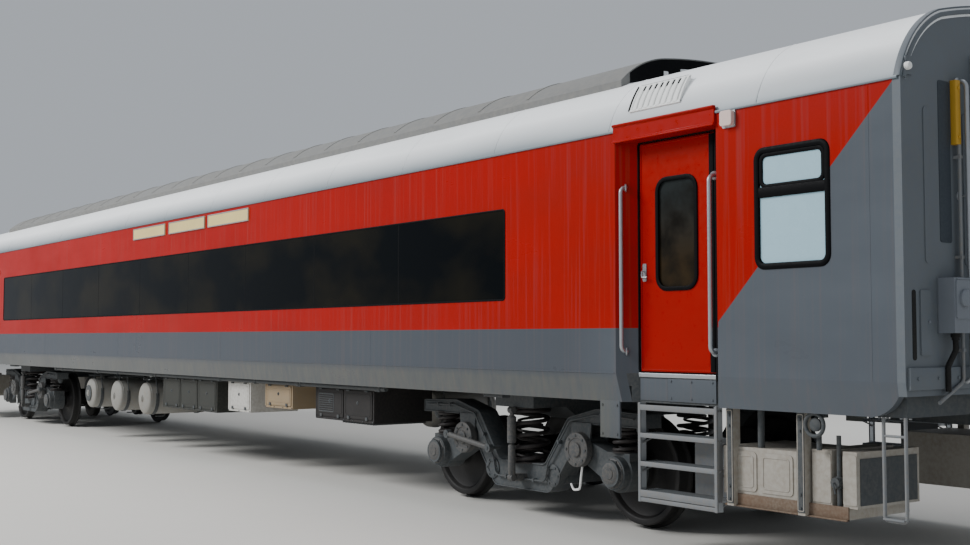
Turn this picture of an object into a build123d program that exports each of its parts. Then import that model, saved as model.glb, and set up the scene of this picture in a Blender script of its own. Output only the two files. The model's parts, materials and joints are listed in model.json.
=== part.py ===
from build123d import *
import math
import os

os.makedirs("parts", exist_ok=True)

# A broad-gauge passenger coach on two bogies. Millimetres, +X towards the end with the
# near door, +Z up, the near side is -Y. Heights are above rail level; up() adds the flange.

# Wheels and axles
wheel_radius = 457.5
flange_height = 28.5
back_to_back = 1600
wheel_width = 127
flange_width = 32
rim_depth = 58
tread_fall = 4
dish_depth = 38
hub_radius = 130
hub_width = 170
axle_radius = 88
journal_radius = 65
journal_end = 1242
disc_radius = 320
disc_width = 110
disc_place = 430
disc_sides = 24
turning_gap = 0.5

# Body shell
body_length = 23540
body_width = 3240
floor_top = 1303
floor_thickness = 100
skirt_depth = 225
turn_under_inset = 35
side_height = 1913
wall_thickness = 60
end_wall_thickness = 60
end_wall_drop = 88
skirt_corner = 210
skirt_corner_middle = (85, 48)

# Roof, worked out upwards from the cantrail
coving_radius = 715
coving_start = 15.1
coving_end = 69.5
low_roof_rise = 150
crown_foot = 60
crown_step = 60
crown_side_radius = 898
crown_foot_slope = 45
crown_edge_slope = 8
crown_shell = 64
end_roof_length = 2920
crown_end_plate = 40

# Saloon windows
pane_count = 9
pane_pitch = 1721
pane_joint = 12
window_width = 1180
window_height = 760
band_height = 791
band_sill = 615
glass_thickness = 8

# Entrance doors in their recesses
door_setback = 2065
door_width = 780
door_height = 1780
door_sill = 17
door_thickness = 40
door_gap = 8
recess_depth = 140
recess_margin = 15
recess_flare = 130
recess_head = 18
jamb_thickness = 45
door_window_width = 400
door_window_height = 840
door_window_sill = 640
door_window_corner = 90
hinge_radius = 12
hinge_clearance = 1
hinge_barrel = 120
hinge_knuckle = 40
hinge_flag = 50
hinge_running_gap = 0.5
hinge_heights = (200, 890, 1580)
hood_height = 145
hood_depth = 32

# Lavatory windows
lavatory_setback = 860
lavatory_width = 640
lavatory_height = 850
lavatory_sill = 747
lavatory_corner = 80
lavatory_frame = 42

# Couplers and gangways
coupler_reach = 230
coupler_drop = 198
coupler_shank = 150
coupler_head_width = 330
coupler_head_height = 280
coupler_head_length = 210
coupler_jaw = 75
coupler_throat = 30
coupler_nose = 15
knuckle_height = 230
coupler_head_room = 20
coupler_pivot_back = 1050
coupler_eye = 90
coupler_pin = 40
gangway_length = 215
gangway_width = 1640
gangway_height = 2150
gangway_tube = 190
gangway_bevel = 45
passage_width = 1000
passage_height = 1980

# Bogies
bogie_setback = 4320
wheelbase = 2560
frame_middle = 1090
frame_width = 190
frame_bottom = 210
frame_flat = 400
frame_crank = 330
frame_knee = 650
frame_knee_height = 875
frame_crest = 1020
frame_shoulder = 965
frame_nose = 25
frame_end_bottom = 850
frame_overhang = 300
spring_seat = 440
pivot_place = 830
pivot_height = 620
pivot_radius = 120
pivot_clearance = 35
pivot_pin = 45
pivot_plate = 16
pivot_plate_top = 130
pivot_plate_foot = 90
pivot_plate_drop = 60
pin_clearance = 0.3
arm_clearance = 2
arm_waist = 100
transom_place = 440
transom_radius = 85
transom_height = 360
bolster_bottom = 950
bolster_length = 560
bolster_keel = 120
bolster_keel_length = 0.8
axle_box_radius = 165
axle_box_boss = 140
axle_box_inner = 1000
axle_box_outer = 1250
axle_box_mouth = 50
cover_depth = 40
cover_radius = 110
spring_pad = 12
secondary_radius = 190
secondary_turns = 5
primary_radius = 120
primary_turns = 4
spring_wire = 0.2
spring_sides = 10

half_length = body_length / 2
half_width = body_width / 2
cantrail = floor_top + side_height
body_bottom = floor_top - skirt_depth
shell_half = half_length - end_wall_thickness
end_wall_low = floor_top - end_wall_drop
crown_length = body_length - 2 * end_roof_length
door_place = half_length - door_setback
lavatory_place = half_length - lavatory_setback
bogie_place = half_length - bogie_setback
coupler_tip = half_length + coupler_reach
coupler_height = floor_top - coupler_drop
axle_gap = wheelbase / 2
bogie_room = bogie_place - axle_gap - wheel_radius


def up(height):
    return flange_height + height


def block(x_range, y_range, z_range, mode=Mode.ADD):
    sizes = [pair[1] - pair[0] for pair in (x_range, y_range, z_range)]
    middle = [(pair[0] + pair[1]) / 2 for pair in (x_range, y_range, z_range)]
    with Locations(tuple(middle)):
        Box(*sizes, mode=mode)


def both(side, low, high):
    """The range from low to high on the near (-1) or far (+1) side."""
    return tuple(sorted((side * low, side * high)))


# Points of the roof's cross-section
coving_middle = (half_width - coving_radius * math.cos(math.radians(coving_start)),
                 cantrail - coving_radius * math.sin(math.radians(coving_start)))


def coving_point(radius, angle):
    turn = math.radians(angle)
    return (coving_middle[0] + radius * math.cos(turn), up(coving_middle[1] + radius * math.sin(turn)))


shoulder = coving_point(coving_radius, coving_end)
shoulder_inner = coving_point(coving_radius - wall_thickness, coving_end)
low_roof_top = shoulder[1] + low_roof_rise
foot_y = shoulder[0] + crown_foot
foot_angle = math.degrees(math.acos((foot_y - coving_middle[0]) / coving_radius))
foot_low = coving_point(coving_radius, foot_angle)
foot_high = (foot_y, foot_low[1] + crown_step)
sin_foot, cos_foot = math.sin(math.radians(crown_foot_slope)), math.cos(math.radians(crown_foot_slope))
sin_edge, cos_edge = math.sin(math.radians(crown_edge_slope)), math.cos(math.radians(crown_edge_slope))
crown_edge = (foot_y - crown_side_radius * (sin_foot - sin_edge),
              foot_high[1] + crown_side_radius * (cos_edge - cos_foot))
crown_radius = crown_edge[0] / sin_edge
crown_top = crown_edge[1] + crown_radius * (1 - cos_edge)
middle_slope = math.radians((crown_foot_slope + crown_edge_slope) / 2)
crown_side_middle = (foot_y - crown_side_radius * (sin_foot - math.sin(middle_slope)),
                     foot_high[1] + crown_side_radius * (math.cos(middle_slope) - cos_foot))


def mirrored(point):
    return (-point[0], point[1])


# Bent bars: an even-sided tube along a route whose corners are cut off
tube_sides = 8


def cut_corners(route, cut):
    points = [Vector(point) for point in route]
    out = [points[0]]
    for before, corner, after in zip(points, points[1:], points[2:]):
        out.append(corner + (before - corner).normalized() * cut)
        out.append(corner + (after - corner).normalized() * cut)
    return out + [points[-1]]


def recess_outline(x, side):
    """Plan of a door recess: narrow at the door, flared out to the body side."""
    reach = door_width / 2 + recess_margin
    back = side * (half_width - recess_depth)
    front = side * (half_width + 1)
    return [(x - reach - recess_flare, front), (x - reach, back), (x + reach, back),
            (x + reach + recess_flare, front)]


# Underframe: sole bars and end sills, cut back at the door recesses
bearer_width = 60
bearer_depth = 100
bearer_pitch = 1150
sole_width = 90
end_sill_length = 160
pocket_plate = 25
pocket_room = 60
cut_margin = 1
floor_bottom = floor_top - floor_thickness
sole_outer = half_width - wall_thickness - turn_under_inset
sole_inner = sole_outer - sole_width
coupler_pivot = coupler_tip - coupler_pivot_back
coupler_opening = 640
pocket_low = coupler_height - coupler_shank / 2 - pocket_room
recess_plane = Plane.XY.offset(up(body_bottom) - cut_margin)


def recess_sketch():
    """The plan of all four door recesses, to be cut out of what they pass through."""
    with BuildSketch(recess_plane) as sketch:
        for end in (-1, 1):
            for side in (-1, 1):
                with BuildLine():
                    Polyline(*recess_outline(end * door_place, side), close=True)
                make_face()
    return sketch.sketch


bearers_each_way = int(bogie_room / bearer_pitch)
bearer_places = [index * bearer_pitch for index in range(-bearers_each_way, bearers_each_way + 1)]
bolster_bearer = bolster_length / 2 - bearer_width
bearer_places += [end * bogie_place + step * bolster_bearer for end in (-1, 1) for step in (-1, 1)]

with BuildPart() as underframe:
    for side in (-1, 1):
        block((-shell_half, shell_half), both(side, sole_inner, sole_outer), (up(body_bottom), up(floor_bottom)))
    for end in (-1, 1):
        for side in (-1, 1):
            block(both(end, shell_half - end_sill_length, shell_half),
                  both(side, coupler_opening / 2 + pocket_plate, sole_inner), (up(body_bottom), up(floor_bottom)))
    extrude(recess_sketch(), amount=skirt_depth + 2 * cut_margin, mode=Mode.SUBTRACT)
underframe.part.label = "underframe"
export_step(underframe.part, "parts/underframe.step")

# Cross-bearers between the sole bars
with BuildPart() as cross_bearers:
    for x in bearer_places:
        block((x - bearer_width / 2, x + bearer_width / 2), (-sole_inner, sole_inner),
              (up(floor_bottom - bearer_depth), up(floor_bottom)))
cross_bearers.part.label = "cross_bearers"
export_step(cross_bearers.part, "parts/cross_bearers.step")

# Floor: one slab, its edges leaning in with the skirt
floor_edge = half_width - wall_thickness
floor_edge_low = floor_edge - turn_under_inset * floor_thickness / skirt_depth

with BuildPart() as floor:
    with BuildSketch(Plane.YZ.offset(-shell_half)):
        with BuildLine():
            Polyline((floor_edge, up(floor_top)), (floor_edge_low, up(floor_bottom)),
                     (-floor_edge_low, up(floor_bottom)), (-floor_edge, up(floor_top)), close=True)
        make_face()
    extrude(amount=2 * shell_half)
    extrude(recess_sketch(), amount=skirt_depth + 2 * cut_margin, mode=Mode.SUBTRACT)
floor.part.label = "floor"
export_step(floor.part, "parts/floor.step")

# Draft pockets: two cheeks, a bottom plate and the coupler's pivot pin at each end
with BuildPart() as draft_pockets:
    for end in (-1, 1):
        pocket_back = coupler_pivot - 2 * coupler_eye
        for side in (-1, 1):
            block(both(end, pocket_back, shell_half),
                  both(side, coupler_opening / 2, coupler_opening / 2 + pocket_plate),
                  (up(pocket_low), up(floor_bottom)))
        block(both(end, pocket_back, coupler_pivot + 2 * coupler_eye), (-coupler_opening / 2, coupler_opening / 2),
              (up(pocket_low), up(pocket_low + pocket_plate)))
        with BuildSketch(Plane((end * coupler_pivot, 0, up(pocket_low)))):
            Circle(coupler_pin)
        extrude(amount=floor_bottom - pocket_low)
draft_pockets.part.label = "draft_pockets"
export_step(draft_pockets.part, "parts/draft_pockets.step")


door_hinge_x = door_width / 2 + door_gap
door_hinge_y = half_width - recess_depth - jamb_thickness - hinge_radius - hinge_clearance


# Side walls: one panel with a turned-under skirt, the window band let in, and door recesses
def build_side_wall(side):
    inner = half_width - wall_thickness
    inner_top = up(cantrail) - wall_thickness * math.tan(math.radians(coving_start))
    band_low = up(floor_top + band_sill)
    band_length = pane_count * pane_pitch
    lavatory_z = up(floor_top + lavatory_sill + lavatory_height / 2)
    sill = up(floor_top + door_sill)
    reach = door_width / 2 + recess_margin
    outer_face = half_width - recess_depth
    inner_face = outer_face - jamb_thickness
    with BuildPart() as wall:
        with BuildSketch(Plane.YZ.offset(-shell_half)):
            with BuildLine():
                Polyline((side * half_width, up(cantrail)), (side * half_width, up(floor_top)),
                         (side * (half_width - turn_under_inset), up(body_bottom)),
                         (side * (inner - turn_under_inset), up(body_bottom)),
                         (side * inner, up(floor_top)), (side * inner, inner_top), close=True)
            make_face()
        extrude(amount=2 * shell_half)
        block((-band_length / 2, band_length / 2), both(side, half_width - glass_thickness, half_width + cut_margin),
              (band_low, band_low + band_height), mode=Mode.SUBTRACT)
        for end in (-1, 1):
            x = end * door_place
            block((x - reach - recess_flare - wall_thickness, x + reach + recess_flare + wall_thickness),
                  both(side, inner_face, inner), (up(floor_top), inner_top))
        with BuildSketch(recess_plane):
            for end in (-1, 1):
                with BuildLine():
                    Polyline(*recess_outline(end * door_place, side), close=True)
                make_face()
        extrude(amount=sill + door_height + recess_head - up(body_bottom) + cut_margin, mode=Mode.SUBTRACT)
        # Windows, doorways and the lavatory windows, all cut straight through
        with BuildSketch(Plane.XZ.offset(-side * half_width)):
            for index in range(pane_count):
                with Locations(((index - (pane_count - 1) / 2) * pane_pitch, band_low + band_height / 2)):
                    Rectangle(window_width, window_height)
            for end in (-1, 1):
                with Locations((end * lavatory_place, lavatory_z)):
                    RectangleRounded(lavatory_width, lavatory_height, lavatory_corner)
                with Locations((end * door_place, sill + door_height / 2)):
                    Rectangle(door_width + 2 * door_gap, door_height + 2 * door_gap)
        extrude(amount=2 * recess_depth, both=True, mode=Mode.SUBTRACT)
        # Lower corners rounded off towards the ends
        with BuildSketch(Plane.XZ.offset(-side * half_width)):
            for end in (-1, 1):
                with BuildLine():
                    low = up(body_bottom)
                    start = (end * (shell_half - skirt_corner), low)
                    middle = (end * (shell_half - skirt_corner_middle[0]), low + skirt_corner_middle[1])
                    stop = (end * shell_half, up(end_wall_low))
                    ThreePointArc(start, middle, stop)
                    Polyline(stop, (end * (shell_half + cut_margin), up(end_wall_low)),
                             (end * (shell_half + cut_margin), low - cut_margin), (start[0], low - cut_margin), start)
                make_face()
        extrude(amount=2 * recess_depth, both=True, mode=Mode.SUBTRACT)
        # Hinge knuckles with their flags, above and below each barrel of the doors
        for hinge_z in hinge_heights:
            z = sill + hinge_z
            for low in (z - hinge_knuckle - hinge_running_gap, z + hinge_barrel + hinge_running_gap):
                with BuildSketch(Plane.XY.offset(low)):
                    for end in (-1, 1):
                        hinge_x = end * (door_place + door_hinge_x)
                        with Locations((hinge_x, side * door_hinge_y)):
                            RegularPolygon(hinge_radius, tube_sides)
                        flag_depth = inner_face - door_hinge_y + hinge_radius
                        with Locations((hinge_x + end * hinge_flag / 2, side * (inner_face - flag_depth / 2))):
                            Rectangle(hinge_flag, flag_depth)
                extrude(amount=hinge_knuckle)
    return wall


side_wall_near = build_side_wall(-1)
side_wall_near.part.label = "side_wall_near"
export_step(side_wall_near.part, "parts/side_wall_near.step")

side_wall_far = build_side_wall(1)
side_wall_far.part.label = "side_wall_far"
export_step(side_wall_far.part, "parts/side_wall_far.step")


# End walls, with the passage to the next coach
def build_end_wall(end):
    low_inset = turn_under_inset * (floor_top - end_wall_low) / skirt_depth
    with BuildPart() as wall:
        with BuildSketch(Plane.YZ.offset(min(end * shell_half, end * half_length))):
            with BuildLine():
                Polyline((half_width, up(cantrail)), (half_width, up(floor_top)),
                         (half_width - low_inset, up(end_wall_low)), (low_inset - half_width, up(end_wall_low)),
                         (-half_width, up(floor_top)), (-half_width, up(cantrail)),
                         mirrored(coving_point(coving_radius - wall_thickness, coving_start)))
                ThreePointArc(mirrored(coving_point(coving_radius - wall_thickness, coving_start)),
                              mirrored(coving_point(coving_radius - wall_thickness, (coving_start + coving_end) / 2)),
                              mirrored(shoulder_inner))
                ThreePointArc(mirrored(shoulder_inner), (0, low_roof_top - wall_thickness), shoulder_inner)
                ThreePointArc(shoulder_inner,
                              coving_point(coving_radius - wall_thickness, (coving_start + coving_end) / 2),
                              coving_point(coving_radius - wall_thickness, coving_start))
                Line(coving_point(coving_radius - wall_thickness, coving_start), (half_width, up(cantrail)))
            make_face()
        extrude(amount=end_wall_thickness)
        through = both(end, shell_half - cut_margin, half_length + cut_margin)
        block(through, (-passage_width / 2, passage_width / 2),
              (up(floor_top), up(floor_top + passage_height)), mode=Mode.SUBTRACT)
        block(through, (-coupler_opening / 2, coupler_opening / 2),
              (up(end_wall_low) - cut_margin, up(coupler_height + coupler_head_height / 2 + coupler_head_room)),
              mode=Mode.SUBTRACT)
    return wall


end_wall_front = build_end_wall(1)
end_wall_front.part.label = "end_wall_front"
export_step(end_wall_front.part, "parts/end_wall_front.step")

end_wall_rear = build_end_wall(-1)
end_wall_rear.part.label = "end_wall_rear"
export_step(end_wall_rear.part, "parts/end_wall_rear.step")

# Coving: the curved sides of the roof, one panel a side
with BuildPart() as roof_coving:
    for side in (-1, 1):
        with BuildSketch(Plane.YZ.offset(-half_length)):
            with BuildLine():
                outer = [coving_point(coving_radius, angle) for angle in
                         (coving_start, (coving_start + coving_end) / 2, coving_end)]
                inner = [coving_point(coving_radius - wall_thickness, angle) for angle in
                         (coving_end, (coving_start + coving_end) / 2, coving_start)]
                outer = [(-side * y, z) for y, z in outer]
                inner = [(-side * y, z) for y, z in inner]
                ThreePointArc(*outer)
                Line(outer[2], inner[0])
                ThreePointArc(*inner)
                Line(inner[2], outer[0])
            make_face()
        extrude(amount=body_length)
roof_coving.part.label = "roof_coving"
export_step(roof_coving.part, "parts/roof_coving.step")

# Raised middle roof: a middle sheet and a curved sheet each side
crown_inner_radius = (shoulder[0] ** 2 + (crown_top - crown_shell - shoulder[1]) ** 2) / (
    2 * (crown_top - crown_shell - shoulder[1]))


def crown_inner_point(y):
    """A point of the arc under the crown, at distance y from the middle."""
    return (y, crown_top - crown_shell - crown_inner_radius + math.sqrt(crown_inner_radius ** 2 - y ** 2))


split = crown_edge[0]
split_inner = crown_inner_point(split)
side_inner_middle = crown_inner_point((shoulder[0] + split) / 2)

with BuildPart() as roof_crown:
    with BuildSketch(Plane.YZ.offset(-crown_length / 2)):
        with BuildLine():
            ThreePointArc(crown_edge, (0, crown_top), mirrored(crown_edge))
            Line(mirrored(crown_edge), mirrored(split_inner))
            ThreePointArc(mirrored(split_inner), (0, crown_top - crown_shell), split_inner)
            Line(split_inner, crown_edge)
        make_face()
    extrude(amount=crown_length)
roof_crown.part.label = "roof_crown"
export_step(roof_crown.part, "parts/roof_crown.step")

with BuildPart() as roof_crown_sides:
    with BuildSketch(Plane.YZ.offset(-crown_length / 2)):
        for flip in (tuple, mirrored):
            with BuildLine():
                Line(flip(foot_low), flip(foot_high))
                ThreePointArc(flip(foot_high), flip(crown_side_middle), flip(crown_edge))
                Line(flip(crown_edge), flip(split_inner))
                ThreePointArc(flip(split_inner), flip(side_inner_middle), flip(shoulder))
                ThreePointArc(flip(shoulder), flip(coving_point(coving_radius, (foot_angle + coving_end) / 2)),
                              flip(foot_low))
            make_face()
    extrude(amount=crown_length)
roof_crown_sides.part.label = "roof_crown_sides"
export_step(roof_crown_sides.part, "parts/roof_crown_sides.step")

# Low roof at each end, with the well that holds the air conditioner and the plate that closes the crown
well_start = crown_length / 2 + 60
well_length = 2000
well_inset = 150
well_width = 2 * (shoulder[0] - well_inset)
well_depth = 460
well_sheet = 15
well_top = shoulder[1]

with BuildPart() as roof_ends:
    for end in (-1, 1):
        with BuildSketch(Plane.YZ.offset(min(end * crown_length / 2, end * half_length))):
            with BuildLine():
                ThreePointArc(shoulder, (0, low_roof_top), mirrored(shoulder))
                Line(mirrored(shoulder), mirrored(shoulder_inner))
                ThreePointArc(mirrored(shoulder_inner), (0, low_roof_top - wall_thickness), shoulder_inner)
                Line(shoulder_inner, shoulder)
            make_face()
        extrude(amount=half_length - crown_length / 2)
        low = well_top - well_depth
        block(both(end, well_start - well_sheet, well_start + well_length + well_sheet),
              (-well_width / 2 - well_sheet, well_width / 2 + well_sheet), (low, low_roof_top))
        block(both(end, well_start, well_start + well_length), (-well_width / 2, well_width / 2),
              (low + well_sheet, low_roof_top + 1), mode=Mode.SUBTRACT)
        with BuildSketch(Plane.YZ.offset(min(end * crown_length / 2, end * half_length))):
            with BuildLine():
                ThreePointArc(shoulder, (0, low_roof_top), mirrored(shoulder))
                Polyline(mirrored(shoulder), (-shoulder[0], low_roof_top + low_roof_rise),
                         (shoulder[0], low_roof_top + low_roof_rise), shoulder)
            make_face()
        extrude(amount=half_length - crown_length / 2, mode=Mode.SUBTRACT)
    for end in (-1, 1):
        with BuildSketch(Plane.YZ.offset(min(end * crown_length / 2, end * (crown_length / 2 - crown_end_plate)))):
            with BuildLine():
                ThreePointArc(shoulder, (0, crown_top - crown_shell), mirrored(shoulder))
                Line(mirrored(shoulder), mirrored(shoulder_inner))
                ThreePointArc(mirrored(shoulder_inner), (0, low_roof_top - wall_thickness), shoulder_inner)
                Line(shoulder_inner, shoulder)
            make_face()
        extrude(amount=crown_end_plate)
roof_ends.part.label = "roof_ends"
export_step(roof_ends.part, "parts/roof_ends.step")

# Air conditioners in the wells, each with two fan openings on top
unit_margin = 70
unit_height = 350
fan_radius = 290
fan_depth = 40

with BuildPart() as air_conditioners:
    for end in (-1, 1):
        low = well_top - well_depth + well_sheet
        block(both(end, well_start + unit_margin, well_start + well_length - unit_margin),
              (-well_width / 2 + unit_margin, well_width / 2 - unit_margin), (low, low + unit_height))
        for side in (-1, 1):
            fan_plane = Plane((end * (well_start + well_length / 2), side * well_width / 4, low + unit_height))
            with BuildSketch(fan_plane):
                Circle(fan_radius)
            extrude(amount=-fan_depth, mode=Mode.SUBTRACT)
air_conditioners.part.label = "air_conditioners"
export_step(air_conditioners.part, "parts/air_conditioners.step")

# Air inlet louvres on the coving over each door
louvre_shift = 135
louvre_place = door_place - louvre_shift
louvre_length = 500
louvre_fins = 8
louvre_fin = 10
louvre_low_angle = 30
louvre_high_angle = 57
louvre_stand = 22
louvre_seam = 0.3

with BuildPart() as roof_louvres:
    fin_pitch = louvre_length / louvre_fins
    fin_places = [end * louvre_place + (index - (louvre_fins - 1) / 2) * fin_pitch
                  for end in (-1, 1) for index in range(louvre_fins)]
    angles = (louvre_low_angle, (louvre_low_angle + louvre_high_angle) / 2, louvre_high_angle)
    base = [coving_point(coving_radius + louvre_seam, angle) for angle in angles]
    crest = [coving_point(coving_radius + louvre_stand, angle) for angle in angles]
    with BuildSketch(*[Plane.YZ.offset(x - louvre_fin / 2) for x in fin_places]):
        for side in (-1, 1):
            with BuildLine():
                ThreePointArc(*[(side * y, z) for y, z in base])
                Line((side * base[2][0], base[2][1]), (side * crest[2][0], crest[2][1]))
                ThreePointArc(*[(side * y, z) for y, z in crest])
                Line((side * crest[0][0], crest[0][1]), (side * base[0][0], base[0][1]))
            make_face()
    extrude(amount=louvre_fin)
roof_louvres.part.label = "roof_louvres"
export_step(roof_louvres.part, "parts/roof_louvres.step")

# Flush window panes, one row a side
with BuildPart() as saloon_glass:
    for side in (-1, 1):
        for index in range(pane_count):
            x = (index - (pane_count - 1) / 2) * pane_pitch
            block((x - (pane_pitch - pane_joint) / 2, x + (pane_pitch - pane_joint) / 2),
                  both(side, half_width - glass_thickness, half_width),
                  (up(floor_top + band_sill), up(floor_top + band_sill + band_height)))
saloon_glass.part.label = "saloon_glass"
export_step(saloon_glass.part, "parts/saloon_glass.step")

# Lavatory windows: a raised rubber frame and a frosted pane with a vent bar
with BuildPart() as lavatory_frames:
    for end in (-1, 1):
        for side in (-1, 1):
            centre = (end * lavatory_place, up(floor_top + lavatory_sill + lavatory_height / 2))
            with BuildSketch(Plane.XZ.offset(-side * half_width)):
                with Locations(centre):
                    RectangleRounded(lavatory_width, lavatory_height, lavatory_corner)
                    RectangleRounded(lavatory_width - 2 * lavatory_frame, lavatory_height - 2 * lavatory_frame,
                                     lavatory_corner - lavatory_frame / 2, mode=Mode.SUBTRACT)
            extrude(amount=side * wall_thickness)
lavatory_frames.part.label = "lavatory_frames"
export_step(lavatory_frames.part, "parts/lavatory_frames.step")

with BuildPart() as lavatory_panes:
    for end in (-1, 1):
        for side in (-1, 1):
            centre = (end * lavatory_place, up(floor_top + lavatory_sill + lavatory_height / 2))
            with BuildSketch(Plane.XZ.offset(-side * (half_width - glass_thickness))):
                with Locations(centre):
                    RectangleRounded(lavatory_width - 2 * lavatory_frame, lavatory_height - 2 * lavatory_frame,
                                     lavatory_corner - lavatory_frame / 2)
            extrude(amount=side * glass_thickness)
lavatory_panes.part.label = "lavatory_panes"
export_step(lavatory_panes.part, "parts/lavatory_panes.step")

# Entrance doors: four hinged leaves, each with its pane
door_face = half_width - recess_depth
door_low = up(floor_top + door_sill)
door_window_z = door_low + door_window_sill + door_window_height / 2
door_names = {(1, -1): "near_front", (-1, -1): "near_rear", (1, 1): "far_front", (-1, 1): "far_rear"}

for (end, side), name in door_names.items():
    x = end * door_place
    with BuildPart() as door_leaf:
        block((x - door_width / 2, x + door_width / 2), both(side, door_face - door_thickness, door_face),
              (door_low, door_low + door_height))
        with BuildSketch(Plane.XZ.offset(-side * door_face)):
            with Locations((x, door_window_z)):
                RectangleRounded(door_window_width, door_window_height, door_window_corner)
        extrude(amount=2 * door_thickness, both=True, mode=Mode.SUBTRACT)
        hinge_x = x + end * door_hinge_x
        flag_depth = door_face - door_thickness - door_hinge_y
        with BuildSketch(*[Plane.XY.offset(door_low + hinge_z) for hinge_z in hinge_heights]):
            with Locations((hinge_x, side * door_hinge_y)):
                RegularPolygon(hinge_radius, tube_sides)
            with Locations((hinge_x - end * (hinge_flag + hinge_clearance) / 2,
                            side * (door_hinge_y + flag_depth / 2))):
                Rectangle(hinge_flag - hinge_clearance, flag_depth)
        extrude(amount=hinge_barrel)
    door_leaf.part.label = "door_" + name
    export_step(door_leaf.part, "parts/door_" + name + ".step")
    with BuildPart() as door_pane:
        with BuildSketch(Plane.XZ.offset(-side * (door_face - glass_thickness))):
            with Locations((x, door_window_z)):
                RectangleRounded(door_window_width, door_window_height, door_window_corner)
        extrude(amount=side * glass_thickness)
    door_pane.part.label = "door_pane_" + name
    export_step(door_pane.part, "parts/door_pane_" + name + ".step")

# Hoods over the doors
with BuildPart() as door_hoods:
    for end in (-1, 1):
        for side in (-1, 1):
            half = door_width / 2 + recess_margin + recess_flare
            low = up(floor_top + door_sill + door_height + recess_head)
            with BuildSketch(Plane.YZ.offset(end * door_place - half)):
                with BuildLine():
                    Polyline((side * half_width, low), (side * (half_width + hood_depth), low),
                             (side * (half_width + hood_depth / 2), low + hood_height),
                             (side * half_width, low + hood_height), close=True)
                make_face()
            extrude(amount=2 * half)
door_hoods.part.label = "door_hoods"
export_step(door_hoods.part, "parts/door_hoods.step")

# Handrails in the door recesses: bent tubes with their feet on the flared cheeks
rail_radius = 16
rail_stand = 60
rail_inset = 60
rail_low = 170
rail_height = 1290
rail_bend = 45

with BuildPart() as door_handrails:
    for end in (-1, 1):
        for side in (-1, 1):
            for edge in (-1, 1):
                flare_in = door_width / 2 + recess_margin
                foot_x = end * door_place + edge * (flare_in + rail_inset)
                foot_depth = (half_width - recess_depth
                              + recess_depth * (rail_inset + rail_radius) / recess_flare)
                foot_y0 = side * foot_depth
                rail_y = side * (foot_depth + rail_stand)
                z0 = up(floor_top + rail_low)
                z1 = z0 + rail_height
                route = [(foot_x, foot_y0, z0), (foot_x, rail_y, z0), (foot_x, rail_y, z1), (foot_x, foot_y0, z1)]
                with BuildLine() as rail_path:
                    Polyline(*cut_corners(route, rail_bend))
                with BuildSketch(Plane(route[0], z_dir=(0, side, 0))):
                    RegularPolygon(rail_radius, tube_sides)
                sweep(path=rail_path.wires()[0], transition=Transition.RIGHT)
door_handrails.part.label = "door_handrails"
export_step(door_handrails.part, "parts/door_handrails.step")

# Step ladders under the doors: a plate post at each end of three treads, and a bar under the sill
step_post = 12
step_post_depth = 65
step_tread_depth = 180
step_tread = 25
step_drops = (238, 458, 678)
step_heights = [body_bottom - drop for drop in step_drops]
step_post_tail = 90
step_bottom = step_heights[-1] - step_post_tail
step_bar_drop = 18
step_bar_height = body_bottom - step_bar_drop
step_bar_depth = 40

with BuildPart() as door_steps:
    for end in (-1, 1):
        for side in (-1, 1):
            x = end * door_place
            front = sole_inner + step_post_depth
            for edge in (-1, 1):
                post_x = x + edge * (door_width + step_post) / 2
                post_range = (post_x - step_post / 2, post_x + step_post / 2)
                block(post_range, both(side, sole_inner, front), (up(step_bottom), up(body_bottom)))
            for height in step_heights:
                block((x - door_width / 2, x + door_width / 2), both(side, front - step_tread_depth, front),
                      (up(height - step_tread), up(height)))
            block((x - door_width / 2, x + door_width / 2), both(side, front - step_post, front),
                  (up(step_bar_height - step_bar_depth), up(step_bar_height)))
door_steps.part.label = "door_steps"
export_step(door_steps.part, "parts/door_steps.step")

# Guard plates that hang from the skirt beside the steps, over the wheels
guard_gap = 123
guard_length = 230
guard_depth = 288
guard_start = door_place - door_width / 2 - step_post - guard_gap - guard_length
guard_low = body_bottom - guard_depth
guard_plate = 12
guard_face = half_width - turn_under_inset

with BuildPart() as step_guards:
    for end in (-1, 1):
        for side in (-1, 1):
            block(both(end, guard_start, guard_start + guard_length),
                  both(side, guard_face - guard_plate, guard_face), (up(guard_low), up(body_bottom)))
step_guards.part.label = "step_guards"
export_step(step_guards.part, "parts/step_guards.step")


# Gangways: a rubber tube frame round each passage, and a foot plate
plate_thickness = 18


def build_gangway(end):
    low, top = up(floor_top), up(floor_top) + gangway_height
    middle_x = end * (half_length + gangway_length / 2)
    middle_y = (gangway_width - gangway_tube) / 2
    crown = top - gangway_tube / 2
    with BuildPart() as gangway:
        with BuildLine() as tube_path:
            Polyline((middle_x, -middle_y, low), (middle_x, -middle_y, crown), (middle_x, middle_y, crown),
                     (middle_x, middle_y, low))
        with BuildSketch(Plane((middle_x, -middle_y, low))):
            tube = Rectangle(gangway_length, gangway_tube)
            chamfer(tube.vertices(), gangway_bevel)
        sweep(path=tube_path.wires()[0], transition=Transition.RIGHT)
        block(both(end, half_length, half_length + gangway_length), (-gangway_width / 2, gangway_width / 2),
              (up(floor_top) - plate_thickness, up(floor_top)))
    return gangway


gangway_front = build_gangway(1)
gangway_front.part.label = "gangway_front"
export_step(gangway_front.part, "parts/gangway_front.step")

gangway_rear = build_gangway(-1)
gangway_rear.part.label = "gangway_rear"
export_step(gangway_rear.part, "parts/gangway_rear.step")

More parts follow.
